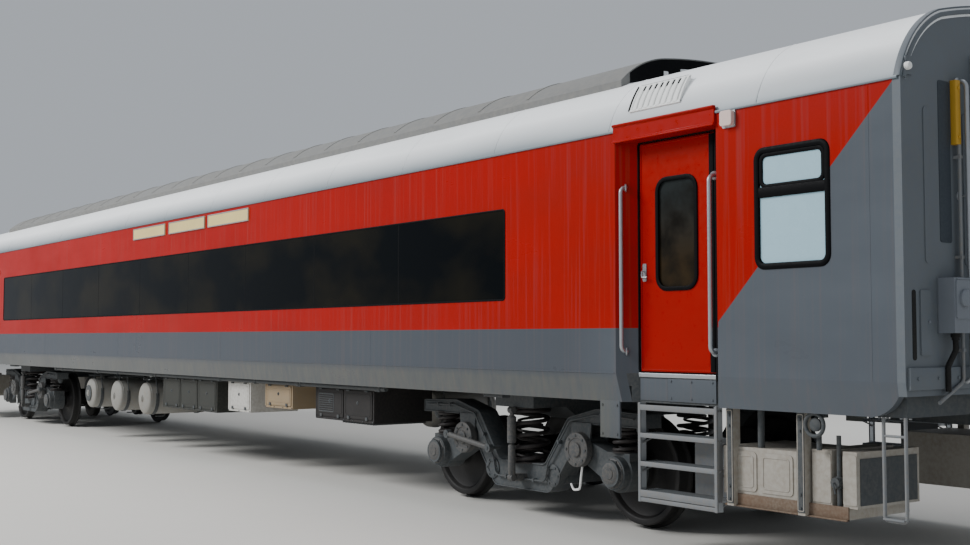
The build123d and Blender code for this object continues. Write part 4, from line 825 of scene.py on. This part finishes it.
axleHalf = [(0.088, 0.0), (0.088, 0.34), (0.10, 0.36), (0.10, 0.50), (0.088, 0.52), (0.088, 0.745), (0.094, 0.76),
            (0.094, 0.955), (0.080, 0.97), (0.066, 0.985), (0.065, 1.238), (0.061, 1.242)]


# A ring closed on itself: a wheel's or disc's whole section turned about the axle.
def ringShell(profile, count):
    profile, (c, s) = np.asarray(profile), polar(wholeTurn(count)).T
    points = np.stack([profile[:, :1] * c, profile[:, 1:] + 0 * c, profile[:, :1] * s], -1)
    return gridShell(points, wrapRows=True)


def wheelsets():
    shells = mirrored([ringShell(wheelProfile, 96), ringShell(discProfile, 72)], ([1, 1, 1], [1, -1, 1]))
    axle = [(r, -d) for r, d in axleHalf[:0:-1]] + axleHalf
    shells.append(lathe((0, 0, 0), (0, 1, 0), axle, 40))
    for side in sides:
        shells.append(bolts((0, side, 0), ringPlaces(0, side * 0.484, 0, 0.118, 10), 0.011, 0.01))
    for name in nodes:
        if name.startswith("wheelset"):
            low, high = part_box(name)
            origin = [(low.x + high.x) / 2, 0, (low.z + high.z) / 2]
            turned = [(points + origin, faces) for points, faces in shells]
            makePiece("turnedWheels_" + name[9:], turned, "wheel_steel", name, (name,))


def bogieDetail(end, name):
    size = {"pivot": (0.83, up(0.62)), "axleZ": up(0.4575), "damper": (0.02, 1.324), "link": 0.81, "hookY": 1.19,
            "lower": ((-0.66, 0.545), (-0.40, 0.206), (0.40, 0.206), (0.66, 0.545)),
            "upper": ((0.33, 0.444), (0.65, 0.880), (1.02, 0.971), (1.56, 0.953)),
            "pipe": ((0.36, 0.30), (0.40, 0.47), (0.70, 0.86), (1.02, 0.925), (1.50, 0.915)),
            "hook": ((0.836, 0.50), (0.80, 0.275), (0.72, 0.262), (0.685, 0.315)),
            "pivotCover": ((0.148, 0), (0.148, 0.060), (0.140, 0.066), (0.100, 0.066), (0.095, 0.060), (0.065, 0.060),
                           (0.060, 0.074), (0.046, 0.078)),
            "boxCover": ((0.124, -0.01), (0.124, 0.004), (0.116, 0.010), (0.098, 0.012), (0.094, 0.036),
                         (0.087, 0.042), (0.050, 0.044), (0.045, 0.050)),
            "transom": ((0.10, 0), (0.10, 0.010), (0.094, 0.014), (0.06, 0.014), (0.056, 0.006)),
            "damperFoot": ((0.016, 0.02), (0.034, 0.05), (0.034, 0.30), (0.030, 0.31)),
            "damperHead": ((0.018, 0), (0.018, 0.04), (0.042, 0.05), (0.042, 0.28), (0.020, 0.30), (0.020, 0.33))}
    centre, outer = end * bogie["place"], bogie["outer"]

    # a run given from the middle outwards, also the other way
    def bothWays(run):
        return [(-x, z) for x, z in run[::-1]] + list(run)

    covers, plates, pipes, heads, dampers, hooks = ([] for _ in range(6))
    for side in sides:
        out, middle, wall = (0, side, 0), side * bogie["side"], side * outer
        face = side * (outer + 0.016)
        for edge in ends:
            x, z = centre + edge * size["pivot"][0], size["pivot"][1]
            covers.append(lathe((x, face, z), out, size["pivotCover"], 44))
            heads.append(bolts(out, ringPlaces(x, face + side * 0.065, z, 0.122, 8)))
            x, z = centre + edge * bogie["axle"], size["axleZ"]
            covers.append(lathe((x, side * 1.25, z), out, size["boxCover"], 40))
            heads.append(bolts(out, ringPlaces(x, side * 1.26, z, 0.110, 8, 0.3), 0.011))
        # top and bottom flanges of the box-section side frame
        for run in (size["lower"], bothWays(size["upper"])):
            path = roundPath([(centre + x, middle, up(z)) for x, z in run], 0.10, 8)
            plates.append(bead(path, 0.214, 0.012, 0.004, (0, 0, 1)))
        for edge in ends:
            for x, wide, z, radius, axis in (((0.98, 1.585), 0.107, heights(0.838, 0.850), 0.004, 0),
                                             ((1.578, 1.590), 0.1, heights(0.846, 0.953), 0.003, 1)):
                plates.append(block(centre + edge * np.array(x), about(middle, wide), z, radius, axis))
            # transom ends
            x, z = centre + edge * 0.44, up(0.36)
            plates.append(lathe((x, wall, z), out, size["transom"], 36))
            heads.append(bolts(out, ringPlaces(x, side * (outer + 0.013), z, 0.078, 6), 0.010))
            # bump stop hanging from the frame over the axle box
            plates.append(lathe((centre + edge * 1.47, middle, up(0.84)), (0, 0, -1),
                                [(0.05, 0), (0.05, 0.03), (0.034, 0.05), (0.03, 0.075)], 20))
        # brake pipe along the frame, clipped
        path = [(centre + x, side * (outer + 0.03), up(z)) for x, z in bothWays(size["pipe"])]
        pipes.append(tube(path, 0.009, 0.06, 8, (0, 1, 0)))
        for x in (-1.3, -1.1, -0.55, -0.2, 0.2, 0.55, 1.1, 1.3):
            z = up(np.interp(abs(x), *zip(*size["pipe"])))
            pipes.append(block(about(centre + x, 0.012), (wall, side * (outer + 0.043)), about(z, 0.016), 0.004, 1))
        # upright damper beside the secondary spring
        x, y = centre + size["damper"][0], side * size["damper"][1]
        dampers.append(lathe((x, y, up(0.30)), (0, 0, 1), size["damperFoot"], 24))
        dampers.append(lathe((x, y, up(0.58)), (0, 0, 1), size["damperHead"], 24))
        for z in heights(0.315, 0.925):
            dampers.append(lathe((x - 0.03, y, z), (1, 0, 0), [(0.030, 0), (0.030, 0.06)], 20))
            dampers.append(rod((x, wall, z), (x, y + side * 0.03, z), 0.014))
        dampers.append(block(about(x, 0.05), (wall, side * (outer + 0.10)), heights(0.285, 0.345), 0.006, 1))
        # slanted link at the inner end
        link = [(centre - end * (size["link"] + x), z) for x, z in ((0.20, up(0.645)), (-0.47, up(0.555)))]
        covers.append(tube([(x, side * 1.31, z) for x, z in link], 0.026, count=12, normal=(0, 1, 0)))
        for x, z in link:
            pipes.append(lathe((x, side * 1.285, z), out, [(0.04, 0), (0.04, 0.05)], 20))
            pipes.append(rod((x, side * 1.18, z), (x, side * 1.34, z), 0.016))
        # safety hook under the outer control arm
        hooks.append(tube([(centre + end * x, side * size["hookY"], up(z)) for x, z in size["hook"]], 0.010, 0.03,
                          normal=(0, 1, 0)))
    for prefix, shells, finish in (("boxCovers_", covers, "coverPaint"), ("safetyHooks_", hooks, "finWhite"),
                                   ("framePlates_", plates, None), ("framePipes_", pipes, None),
                                   ("bogieBolts_", heads, None)):
        makePiece(prefix + name, shells, "frame_dark", "bogie_" + name, finish=finish)
    makePiece("damperTubes_" + name, dampers, "frame_dark", "bogie_" + name, ("dampers_" + name,), "coverPaint")


wheelsets()
for end, name in ((1, "front"), (-1, "rear")):
    springs(end, name)
    bogieDetail(end, name)
print("bogies made")

# Ends of the coach


# A rubber tube frame, its section bulging between moulded ribs: half width (1 - swell cos^6) along the run.
def gangways():
    size = {"low": up(1.303), "top": up(3.453), "outer": 0.82, "tube": 0.19, "depth": 0.18, "swell": 0.06,
            "rib": 0.16, "step": 0.012}
    low, top = size["low"], size["top"]
    middle, crown = size["outer"] - size["tube"] / 2, top - size["tube"] / 2
    route = roundPath([(0, -middle, low), (0, -middle, crown), (0, middle, crown), (0, middle, low)], 0.13, 14)
    path = [route[:1]]
    for start, stop in zip(route[:-1], route[1:]):
        count = max(1, int(np.linalg.norm(stop - start) / size["step"]))
        path.append(start + (stop - start) * np.arange(1, count + 1)[:, None] / count)
    path = np.vstack(path)
    run = np.concatenate([[0], np.cumsum(np.linalg.norm(np.diff(path, axis=0), axis=1))])
    swell = (1 - size["swell"] * np.abs(np.cos(math.pi * run / size["rib"])) ** 6)[:, None, None]
    normal = np.array([1.0, 0, 0])
    across = np.cross(unit(np.gradient(path, axis=0)), normal)[:, None]
    section = roundRect(size["tube"] - 0.006, size["depth"], 0.07, 7)
    for name, end in (("front", 1), ("rear", -1)):
        centre = path + [end * (bodyEnd + size["depth"] / 2 + 0.022), 0, 0]
        points = centre[:, None] + section[:, :1] * across * swell + section[:, 1:] * normal * (0.5 + swell / 2)
        makePiece("rubberTube_" + name, [gridShell(points)], "rubber", replaces=("gangway_" + name,))
        plate = end * bodyEnd, end * (bodyEnd + 0.024)
        frames = [block(plate, (y * 0.60, y * 0.84), (low + 0.01, top - 0.02), axis=2) for y in (-1, 1)]
        frames.append(block(plate, about(0, 0.84), (top - 0.22, top - 0.004), axis=1))
        frames.append(block((plate[0], end * (bodyEnd + 0.213)), about(0, 0.8), (low - 0.018, low - 0.002), axis=1))
        for y in np.linspace(-0.62, 0.62, 32):
            frames.append(block((end * (bodyEnd + 0.02), end * (bodyEnd + 0.205)), about(y, 0.005),
                                span(low, 0.004, 0.001), 0.002))
        frames.append(bolts((end, 0, 0), [(plate[1], y, z) for y in (-0.832, 0.832)
                                          for z in np.linspace(low + 0.08, top - 0.08, 14)], 0.010))
        makePiece("gangwayFrame_" + name, frames, "steel_tube")


def endWallDetail():
    size = {"beam": (0.86, 1.60), "ribs": (-1.36, -0.92, 0.92, 1.36), "socket": 1.165, "bar": 1.055, "pipe": 1.043,
            "beamBolts": (-1.52, -1.3, -1.08, 1.08, 1.3, 1.52), "lamp": (1.57, up(3.28)),
            "boss": ((0.055, 0), (0.055, 0.018), (0.048, 0.026), (0.03, 0.028)),
            "gland": ((0.03, 0), (0.03, 0.03), (0.024, 0.035), (0.024, 0.05))}
    dark, pale, yellow, pipes, wall, shadeStrips, lamps = ([] for _ in range(7))
    face, out = bodyEnd, (1, 0, 0)
    # buffing beam across the foot of the wall, and pressed ribs above it
    for side in sides:
        wall.append(block(span(face, 0, 0.022), np.multiply(size["beam"], side), heights(1.255, 1.395), 0.006, 1))
    for y in size["ribs"]:
        wall.append(plateX(about(y, 0.03), heights(2.05, 3.05), span(face, 0.001, 0.006), 0.028))
    wall.append(bolts(out, [(face + 0.022, y, up(1.325)) for y in size["beamBolts"]]))
    for side in sides:
        # jumper sockets: a hinged cap with a round boss and a cable drop
        y, bend = side * size["socket"], side * (size["socket"] + 0.05)
        wall.append(plateX(about(y, 0.105), heights(1.60, 1.965), span(face, 0, 0.008), 0.012))
        pale.append(plateX(about(y, 0.085), heights(1.70, 1.945), span(face, -0.118, 0.128), 0.016))
        pale.append(lathe((face + 0.125, y, up(1.83)), out, size["boss"], 28))
        pale.append(rod((face + 0.115, y - 0.07, up(1.952)), (face + 0.115, y + 0.07, up(1.952)), 0.010))
        dark.append(tube([(face + 0.06, y, up(1.612)), (face + 0.06, y, up(1.50)), (face + 0.035, bend, up(1.40)),
                          (face + 0.035, bend, up(1.24))], 0.018, 0.05, 12, (1, 0.2, 0)))
        dark.append(lathe((face + 0.06, y, up(1.615)), (0, 0, -1), size["gland"], 18))
        # small panel and a dark slot beside it; a dark strip by the gangway, painted shade of the gangway's side; the
        # tail lamp's bracket and lamp
        wall.append(plateX((side * 1.35, side * 1.46), heights(1.47, 1.88), span(face, 0, 0.010), 0.012))
        shadeStrips.append(plateX((side * 1.09, side * 1.22), heights(2.19, 3.24), span(face, 0.001, 0.003), 0.02))
        knob = (face + 0.010, side * 1.372, up(1.68))
        pale.append(lathe(knob, out, [(0.010, 0), (0.010, 0.006), (0.006, 0.008)], 12))
        dark.append(plateX((side * 1.50, side * 1.54), heights(1.44, 1.88), span(face, 0.001, 0.003), 0.018))
        wall.append(plateX((side * 1.50, side * 1.58), heights(3.23, 3.35), span(face, 0, 0.012), 0.012))
        lamp = (face + 0.010, side * size["lamp"][0], size["lamp"][1])
        lamps.append(lathe(lamp, out, [(0.026, 0), (0.026, 0.02), (0.022, 0.03), (0.010, 0.034)], 24))
        # yellow bar and the pipe that runs down from it
        x, y = face + 0.036, side * size["pipe"]
        pipes.append(tube([(x, y, up(2.83)), (x, y, up(1.30)), (x, side * 1.32, up(1.17))], 0.012, normal=out))
        for z in (1.5, 2.1, 2.75):
            pipes.append(block(span(face, 0, 0.05), about(y, 0.016), about(up(z), 0.01), 0.003))
        y = side * size["bar"]
        yellow.append(block(span(face, -0.001, 0.045), about(y, 0.028), heights(2.83, 3.25), 0.006, 2))
        yellow.append(bolts(out, [(face + 0.045, y, z) for z in heights(2.88, 3.2)], 0.011))
    for name, shells, slot, finish in (
            ("endPressings", wall, "end_paint", None), ("endFittings", pale, "unit_metal", "socketGrey"),
            ("endStrips", shadeStrips, "end_paint", "stripGrey"), ("endCables", dark, "rubber", None),
            ("endPipes", pipes, "frame_dark", "ladderPaint"), ("yellowBars", yellow, "end_paint", "yellowPaint"),
            ("tailLamps", lamps, "lamp_lens", "finWhite")):
        makePiece(name, bothEnds(shells), slot, finish=finish)


# Coupler: heads with a slotted face, a knuckle pin, a lock lever and bolted shank collar.
def couplers():
    size = {"collars": ((0.26, 0.21, 0.10, 0.03), (0.34, 0.30, 0.09, 0.02)), "striker": (0.32, 0.37),
            "lever": ((0.11, -0.02, 0.15), (0.11, -0.02, 0.175), (0.15, -0.20, 0.175), (0.15, -0.20, 0.06)),
            "pin": ((0.030, 0), (0.030, 0.006), (0.022, 0.01), (0.022, 0.315), (0.034, 0.32), (0.034, 0.338),
                    (0.028, 0.342))}
    for name, end in (("front", 1), ("rear", -1)):
        low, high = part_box("coupler_" + name)
        tip, middle = max(abs(low.x), abs(high.x)), (low.z + high.z) / 2
        shells = [block((end * (tip - back), end * (tip - front)), about(0, half), about(middle, half), radius)
                  for back, front, half, radius in size["collars"]]
        for z in (-1, 1):
            shells.append(block((end * (tip - 0.19), end * (tip - 0.12)), about(0, 0.155),
                                (middle + z * 0.138, middle + z * 0.15), 0.01, 1))
        shells.append(lathe((end * (tip - 0.085), 0.095, middle - 0.165), (0, 0, 1), size["pin"], 24))
        lever = [(end * (tip - x), y, middle + z) for x, y, z in size["lever"]]
        shells.append(tube(lever, 0.010, 0.03, normal=(1, 0.3, 0.2)))
        for side in sides:
            shells.append(bolts((0, side, 0), [(end * (tip - 0.32), side * 0.09, middle + z) for z in (-0.05, 0.05)]))
        makePiece("couplerDetail_" + name, shells, "coupler_iron", "coupler_" + name)
    # striker frame beside the mouth in the end wall
    striker = [block(span(bodyEnd, 0, 0.016), np.multiply(size["striker"], side), heights(1.217, 1.295), axis=1)
               for side in sides]
    makePiece("strikerFrames", bothEnds(striker), "frame_dark")


gangways()
endWallDetail()
couplers()
print("ends made")

# Underfloor equipment


# One hung box seen from its outer side: flange, door outlines, latches, hinges, vents and a row of bolts.
def boxFront(x, y, z, doors, vents=()):
    (x0, x1), (z0, z1), out = x, z, (0, -1, 0)
    size = {"edge": 0.03, "gap": 0.010, "slat": 0.022, "boltPitch": 0.16}
    skin, dark, metal = [frameLoop(grow(x, -0.012), grow(z, -0.012), y - 0.002, 0.012, 0.024, 0.008)], [], []
    width = (x1 - x0 - 2 * size["edge"]) / doors
    for i in range(doors):
        a = x0 + size["edge"] + i * width + size["gap"]
        b = a + width - 2 * size["gap"]
        skin.append(plateY((a, b), grow(z, -0.035), (y - 0.010, y), 0.018))
        skin.append(frameLoop((a + 0.035, b - 0.035), grow(z, -0.075), y - 0.010, 0.015, 0.012, 0.006))
        for hinge in (a + 0.10, b - 0.10):
            metal.append(block(about(hinge, 0.022), (y - 0.020, y), (z0 + 0.028, z0 + 0.062), axis=2))
            metal.append(rod((hinge - 0.03, y - 0.016, z1 - 0.034), (hinge + 0.03, y - 0.016, z1 - 0.034), 0.009))
        metal.append(lathe(((a + b) / 2, y - 0.009, (z0 + z1) / 2 + 0.02), out,
                           [(0.020, 0), (0.020, 0.004), (0.010, 0.006), (0.010, 0.012)], 18))
    for a, b, low, high in vents:
        count = int((high - low) / size["slat"])
        for middle in low + (np.arange(count) + 0.5) * (high - low) / count:
            dark.append(block((a, b), (y - 0.016, y - 0.003), span(middle, 0.004, 0.003), 0.002))
        metal.append(frameLoop((a - 0.012, b + 0.012), (low - 0.012, high + 0.012), y - 0.008, 0.01, 0.014, 0.014))
    row = np.linspace(x0 + 0.02, x1 - 0.02, max(3, int((x1 - x0) / size["boltPitch"])))
    places = [(place, y - 0.006, height) for place in row for height in grow(z, -0.012)]
    metal.append(bolts(out, places, 0.008, 0.006))
    return skin, dark, metal


def hungBoxes():
    size = {"room": bogie["place"] - bogie["axle"] - 0.4575, "outer": 1.525, "floor": 1.078, "lid": 0.03}
    table = (                       # node, share, length, width, inset, depth, doors, vented
        ("battery_box", 0.0980, 1.80, 0.75, 0.075, 0.47, 3, False),
        ("charger_box", 0.3694, 0.64, 0.65, 0.075, 0.42, 1, False),
        ("brake_box", 0.5549, 0.70, 0.65, 0.075, 0.33, 1, False),
        ("inverter_box", 0.8149, 1.25, 0.73, 0.095, 0.40, 2, True),
    )
    for node, share, length, width, inset, depth, doors, vented in table:
        (x0, x1), y = about(share * size["room"], length / 2), inset - size["outer"]
        z0, z1 = heights(size["floor"] - depth, size["floor"] - size["lid"])
        vents = [(x0 + 0.10, x0 + 0.40, z0 + 0.10, z1 - 0.10)] if vented else []
        skin, dark, metal = boxFront((x0, x1), y, (z0, z1), doors, vents)
        for spot in (0.15, 0.85):
            x = x0 + spot * length
            metal.append(block(about(x, 0.035), (y + 0.004, y + 0.054), span(z1, 0.01, 0.03), 0.006, 2))
            metal.append(bolts((0, -1, 0), [(place, y + 0.004, z1 + 0.014) for place in about(x, 0.018)], 0.010))
        if vented:                  # cooling ribs underneath
            for x in np.linspace(x0 + 0.55, x1 - 0.08, 12):
                dark.append(block(about(x, 0.006), (y + 0.03, y + width - 0.03), span(z0, 0.022, 0.002), 0.002, 1))
        kind = node.split("_")[0]
        makePiece(kind + "Doors", halfTurn(skin), slotOf[node], finish=finishOf[node])
        if dark:
            makePiece(kind + "Vents", halfTurn(dark), "frame_dark")
        makePiece(kind + "Latches", halfTurn(metal), "frame_dark")


def reservoirs():
    size = {"places": (-1.15, -2.30, -3.45), "z": up(0.69), "radius": 0.230, "dome": 0.055, "length": 0.945,
            "inner": -0.45, "outer": -1.448}
    z, r, out = size["z"], size["radius"], (0, -1, 0)
    # closed profile from one domed end to the other, measured from the inner end
    dome = [(r * math.cos(t), size["dome"] * math.sin(t)) for t in np.linspace(0, math.pi / 2 - 0.08, 9)]
    profile = [(q, size["dome"] - d) for q, d in dome[::-1]] + [(q, size["length"] + d) for q, d in dome]
    sling = (r + 0.006) * polar(np.radians(np.linspace(-200, 20, 34)))
    shells, straps = [], []
    for x in size["places"]:
        shells.append(lathe((x, size["inner"], z), out, profile, 56))
        for y in (-0.53, -1.37):        # weld seams
            shells.append(lathe((x, y, z), out, [(r + 0.001, -0.006), (r + 0.004, -0.003), (r + 0.004, 0.003),
                                                 (r + 0.001, 0.006)], 48))
        for y in (-0.60, -1.30):
            straps.append(bead(atY(x + sling[:, 0], y, z + sling[:, 1]), 0.010, 0.05, 0.003, (0, 1, 0)))
            for edge in ends:
                foot, head = (x + edge * 0.225, y, z + 0.07), (x + edge * 0.12, y, up(1.10))
                straps.append(rod(foot, head, 0.010, 8, (0, 1, 0)))
        # end boss, drain cock and feed pipe
        boss = [(0.05, 0), (0.05, 0.010), (0.032, 0.012), (0.032, 0.02)]
        shells.append(lathe((x, size["outer"], z), out, boss, 24))
        if x == size["places"][-1]:     # the last one has a dark dished end
            dish = [(0.13, 0), (0.13, 0.006), (0.12, 0.008), (0.05, 0.008)]
            straps.append(lathe((x, size["outer"], z), out, dish, 36))
        low = z - r
        drain = [(x, -1.10, low + 0.004), (x, -1.10, low - 0.035), (x, -1.24, low - 0.035)]
        straps.append(tube(drain, 0.009, 0.02, 8, (1, 0, 0)))
        x, top = x + 0.10, up(0.98)
        straps.append(tube([(x, -1.0, z + 0.19), (x, -1.0, top), (x, -1.47, top)], 0.010, 0.03, 8, (1, 0, 0)))
    makePiece("reservoirShells", halfTurn(shells), "box_pale", replaces=("air_reservoirs",), finish="tankGrey")
    makePiece("reservoirStraps", halfTurn(straps), "frame_dark")


def underPipes():
    size = {"runs": ((-1.375, 1.165, 0.012), (-1.36, 1.13, 0.009), (-1.40, 1.098, 0.009)), "length": (-5.7, 5.9),
            "couplings": (-4.6, -2.9, -0.62, 1.62, 3.72, 5.45),
            "brackets": (-4.9, -4.0, -2.0, -0.5, 1.64, 2.65, 3.8, 5.5), "clips": np.arange(-5.5, 5.8, 0.575)}
    start, stop = size["length"]
    shells = [rod((start, y, up(z)), (stop, y, up(z)), radius) for y, z, radius in size["runs"]]
    clips = [block(about(x, 0.012), (-1.425, -1.345), heights(1.085, 1.185), axis=2) for x in size["clips"]]
    # main pipe couplings and brackets under the sill
    for x in size["couplings"]:
        shells.append(lathe((x - 0.05, -1.49, up(1.053)), (1, 0, 0),
                            [(0.026, 0), (0.033, 0.004), (0.033, 0.096), (0.026, 0.1)], 18))
    for x in size["brackets"]:
        clips.append(block(about(x, 0.015), (-1.52, -1.46), heights(1.022, 1.082), 0.006, 2))
    makePiece("underPipes", halfTurn(shells), "frame_dark")
    makePiece("pipeClips", halfTurn(clips), "frame_dark")


# Corner tank groups: pressed panels, straps, posts, valve and the ring-shaped filler pipe.
def tankDetail():
    size = {"face": -1.45, "z": heights(0.46, 0.80), "tanks": ((10.16, 10.44), (10.47, 10.76)),
            "tray": (10.165, 11.215), "boxes": ((10.925, 11.075), (11.172, 11.278)), "straps": (10.24, 10.87),
            "valve": 11.125, "filler": 11.02}
    y, z, (low, high) = size["face"], size["z"], size["z"]
    skin, dark, metal = [], [], []
    for a, b in size["tanks"]:
        skin.append(plateY((a, b), grow(z, -0.03), (y - 0.007, y), 0.03))
        skin.append(frameLoop((a + 0.03, b - 0.03), grow(z, -0.06), y - 0.008, 0.02, 0.010, 0.006))
    for x in size["boxes"]:
        skin.append(plateY(x, (low + 0.02, high + 0.01), (y - 0.006, y), 0.015))
    dark.append(block(size["tray"], span(y, 0.012, 0.002), heights(0.375, 0.468), 0.006))
    dark.append(block(size["tray"], span(y, 0.03, 0.002), heights(0.375, 0.387), 0.003))
    for x in size["straps"]:
        metal.append(block(about(x, 0.030), (-1.512, -1.503), heights(0.40, 1.07), 0.003, 2))
        metal.append(bolts((0, -1, 0), [(x, -1.512, up(height)) for height in (0.43, 0.52, 0.95, 1.03)], 0.010))
        skin.append(frameLoop(about(x, 0.024), heights(0.41, 1.06), -1.509, 0.01, 0.008, 0.008))
    # valve between the small boxes
    x = size["valve"]
    metal.append(rod((x, y + 0.02, up(0.46)), (x, y + 0.02, up(0.93)), 0.016, 12, (0, 1, 0)))
    metal.append(lathe((x, y - 0.03, up(0.62)), (0, 1, 0), [(0.035, 0), (0.035, 0.06)], 20))
    collar = [(0.024, 0), (0.03, 0.02), (0.03, 0.06), (0.024, 0.08)]
    metal.append(lathe((x, y + 0.02, up(0.58)), (0, 0, 1), collar, 18))
    handle = [(x, y - 0.032, up(0.62)), (x, y - 0.05, up(0.62)), (x + 0.02, y - 0.05, up(0.55))]
    metal.append(tube(handle, 0.006, 0.01, 8, (1, 0.2, 0)))
    # ring-shaped filler on the sole bar, its pipe and the tank group's post
    x, height = size["filler"], up(1.00)
    metal.append(sweep(ringPlaces(x, -1.548, height, 0.075, 40), circle(0.014, 10), (0, 1, 0), closed=True))
    metal.append(lathe((x, -1.525, height), (0, -1, 0), [(0.045, 0), (0.045, 0.018), (0.03, 0.026)], 24))
    metal.append(rod((x, -1.50, up(0.93)), (x, -1.50, up(0.83)), 0.018, 12, (0, 1, 0)))
    metal.append(rod((10.44, -1.40, high), (10.44, -1.40, up(1.08)), 0.025, 14, (0, 1, 0)))
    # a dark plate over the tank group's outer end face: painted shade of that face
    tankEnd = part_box("corner_tanks")[1].x
    metal.append(block(span(tankEnd, 0.001, 0.008), (-1.42, -0.79), heights(0.48, 0.785), axis=2))
    makePiece("tankPanels", corners(skin), "box_pale")
    makePiece("tankTrays", corners(dark), "frame_dark", finish="brownPaint")
    makePiece("tankFittings", corners(metal), "frame_dark")


# Ladder: a flat bar across the front of each tread, grip slots, plate posts with bolts.
def ladderDetail():
    size = {"front": -1.5, "back": -1.32, "treads": ((0.840, 0.034), (0.620, 0.034), (0.400, 0.050)),
            "guard": -1.585}
    middle, half, front, back = door["middle"], door["half"], size["front"], size["back"]
    metal, dark = [], []
    for z, tall in size["treads"]:
        z = up(z)
        metal.append(block(about(middle, half), about(front, 0.006), span(z, tall, 0.003)))
        for y in np.linspace(front + 0.03, back - 0.02, 6):
            dark.append(block(about(middle, half - 0.03), about(y, 0.006), span(z, 0.001, 0.003), 0.003))
        for x in about(middle, 0.012 - half):       # a stay under each tread's end
            metal.append(rod((x, front + 0.02, z - 0.075), (x, back - 0.01, z - 0.027), 0.007, 8, (1, 0, 0)))
    metal.append(block(about(middle, half), about(front, 0.006), heights(1.018, 1.062)))
    # splash plate behind the two lower bays
    splash = (middle + 0.02, middle + half - 0.004), span(back, 0.002, 0.006), heights(0.372, 0.836)
    metal.append(block(*splash, 0.003))
    for edge in ends:
        x = middle + edge * (half + 0.006)
        metal.append(block(about(x, 0.014), span(front, 0.007, 0.008), heights(0.31, 1.076), axis=2))
        metal.append(bolts((edge, 0, 0), [(x + edge * 0.006, y, up(z)) for y in (-1.455, -1.485)
                                          for z in (0.388, 0.608, 0.828, 1.045)], 0.009, 0.007))
    metal.append(block(about(middle, half + 0.01), span(front, 0.004, 0.008), heights(0.312, 0.345)))
    makePiece("ladderBars", corners(metal), "steel_tube", finish="ladderPaint")
    makePiece("treadGrips", corners(dark), "frame_dark")
    face = size["guard"]
    guard = [block((8.953, 9.177), span(face, 0.003, 0.004), heights(0.793, 1.085), 0.003),
             bolts((0, -1, 0), [(x, face - 0.003, z) for x in (8.98, 9.15) for z in heights(0.82, 1.05)], 0.009)]
    makePiece("guardPlates", corners(guard), "body_paint")


def soleDetail():
    y = -1.525
    shells = [block(about(x, 0.006), (y + 0.095, y + 0.150), heights(1.085, 1.20), 0.002, 2)
              for x in np.arange(-8.6, 8.61, 1.075)]
    shells.append(block(about(0, 8.9), span(y, 0.001, 0.09), heights(1.074, 1.083), 0.003))
    for x in about(0, bogie["place"]):      # jacking pads
        shells.append(block(about(x, 0.14), span(y, 0, 0.09), heights(1.045, 1.076), 0.008))
    makePiece("soleFlanges", bothSides(shells), "frame_dark")
    heads = bolts((0, 0, -1), [(x, y + 0.045, up(1.074)) for x in np.arange(-8.5, 8.6, 0.5)], 0.011)
    makePiece("soleBolts", bothSides([heads]), "frame_dark")


hungBoxes()
reservoirs()
underPipes()
tankDetail()
ladderDetail()
soleDetail()
print("underfloor made")

# Floor, light and camera


# A lamp or camera set down at its place, its three axes the columns of its matrix.
def aimed(name, data, place, axes):
    thing = bpy.data.objects.new(name, data)
    bpy.context.scene.collection.objects.link(thing)
    matrix = np.eye(4)
    matrix[:3, :3] = np.stack(axes, 1)
    matrix[:3, 3] = place
    thing.matrix_world = Matrix(matrix.tolist())
    return thing


def stageAndCamera():
    view = {"place": (16.23, -8.21, up(1.58)), "turn": 36.92, "pitch": 3.07, "focalPixels": 1218.4, "width": 970,
            "floor": 120.0, "sky": (0.86, 0.92, 1.0, 1), "skyStrength": 0.5, "sensor": 36, "clip": 500}
    flat = view["floor"] * np.array([[[-1, -1, 0], [1, -1, 0]], [[-1, 1, 0], [1, 1, 0]]])
    points, faces = gridShell(flat, wrapColumns=False, caps=False)
    mesh = bpy.data.meshes.new("floor")
    mesh.from_pydata(points.tolist(), [], faces)
    mesh.materials.append(surface("floorPale", tone(214, 212, 206), 0.85, 0.03, 0.4, bump=0.01))
    floor = bpy.data.objects.new("floor", mesh)
    bpy.context.scene.collection.objects.link(floor)
    world = bpy.data.worlds.new("studio")
    world.use_nodes = True
    background = world.node_tree.nodes["Background"].inputs
    background["Color"].default_value = view["sky"]
    background["Strength"].default_value = view["skyStrength"]
    bpy.context.scene.world = world
    lights = (                      # name, place, aim, size, power
        ("sunPanel", (-9, -24, 22), (1, 0, 1.5), 14, 11000),
        ("skyPanel", (4, 4, 26), (2, 0, 2), 22, 2600),
    )
    for name, place, aim, width, power in lights:
        data = bpy.data.lights.new(name, "AREA")
        data.energy = power
        data.size = width
        away = unit(np.subtract(place, aim).astype(float))
        side = unit(np.cross([0, 0, 1.0], away))
        aimed(name, data, place, (side, np.cross(away, side), away))
    turn, pitch = math.radians(view["turn"]), math.radians(view["pitch"])
    forward = np.array([-math.cos(turn) * math.cos(pitch), math.sin(turn) * math.cos(pitch), math.sin(pitch)])
    right = np.array([math.sin(turn), math.cos(turn), 0])
    data = bpy.data.cameras.new("camera")
    data.sensor_width = view["sensor"]
    data.lens = view["focalPixels"] / view["width"] * view["sensor"]
    data.clip_end = view["clip"]
    bpy.context.scene.camera = aimed("camera", data, view["place"], (right, np.cross(right, forward), -forward))


stageAndCamera()
print("stage and camera made")
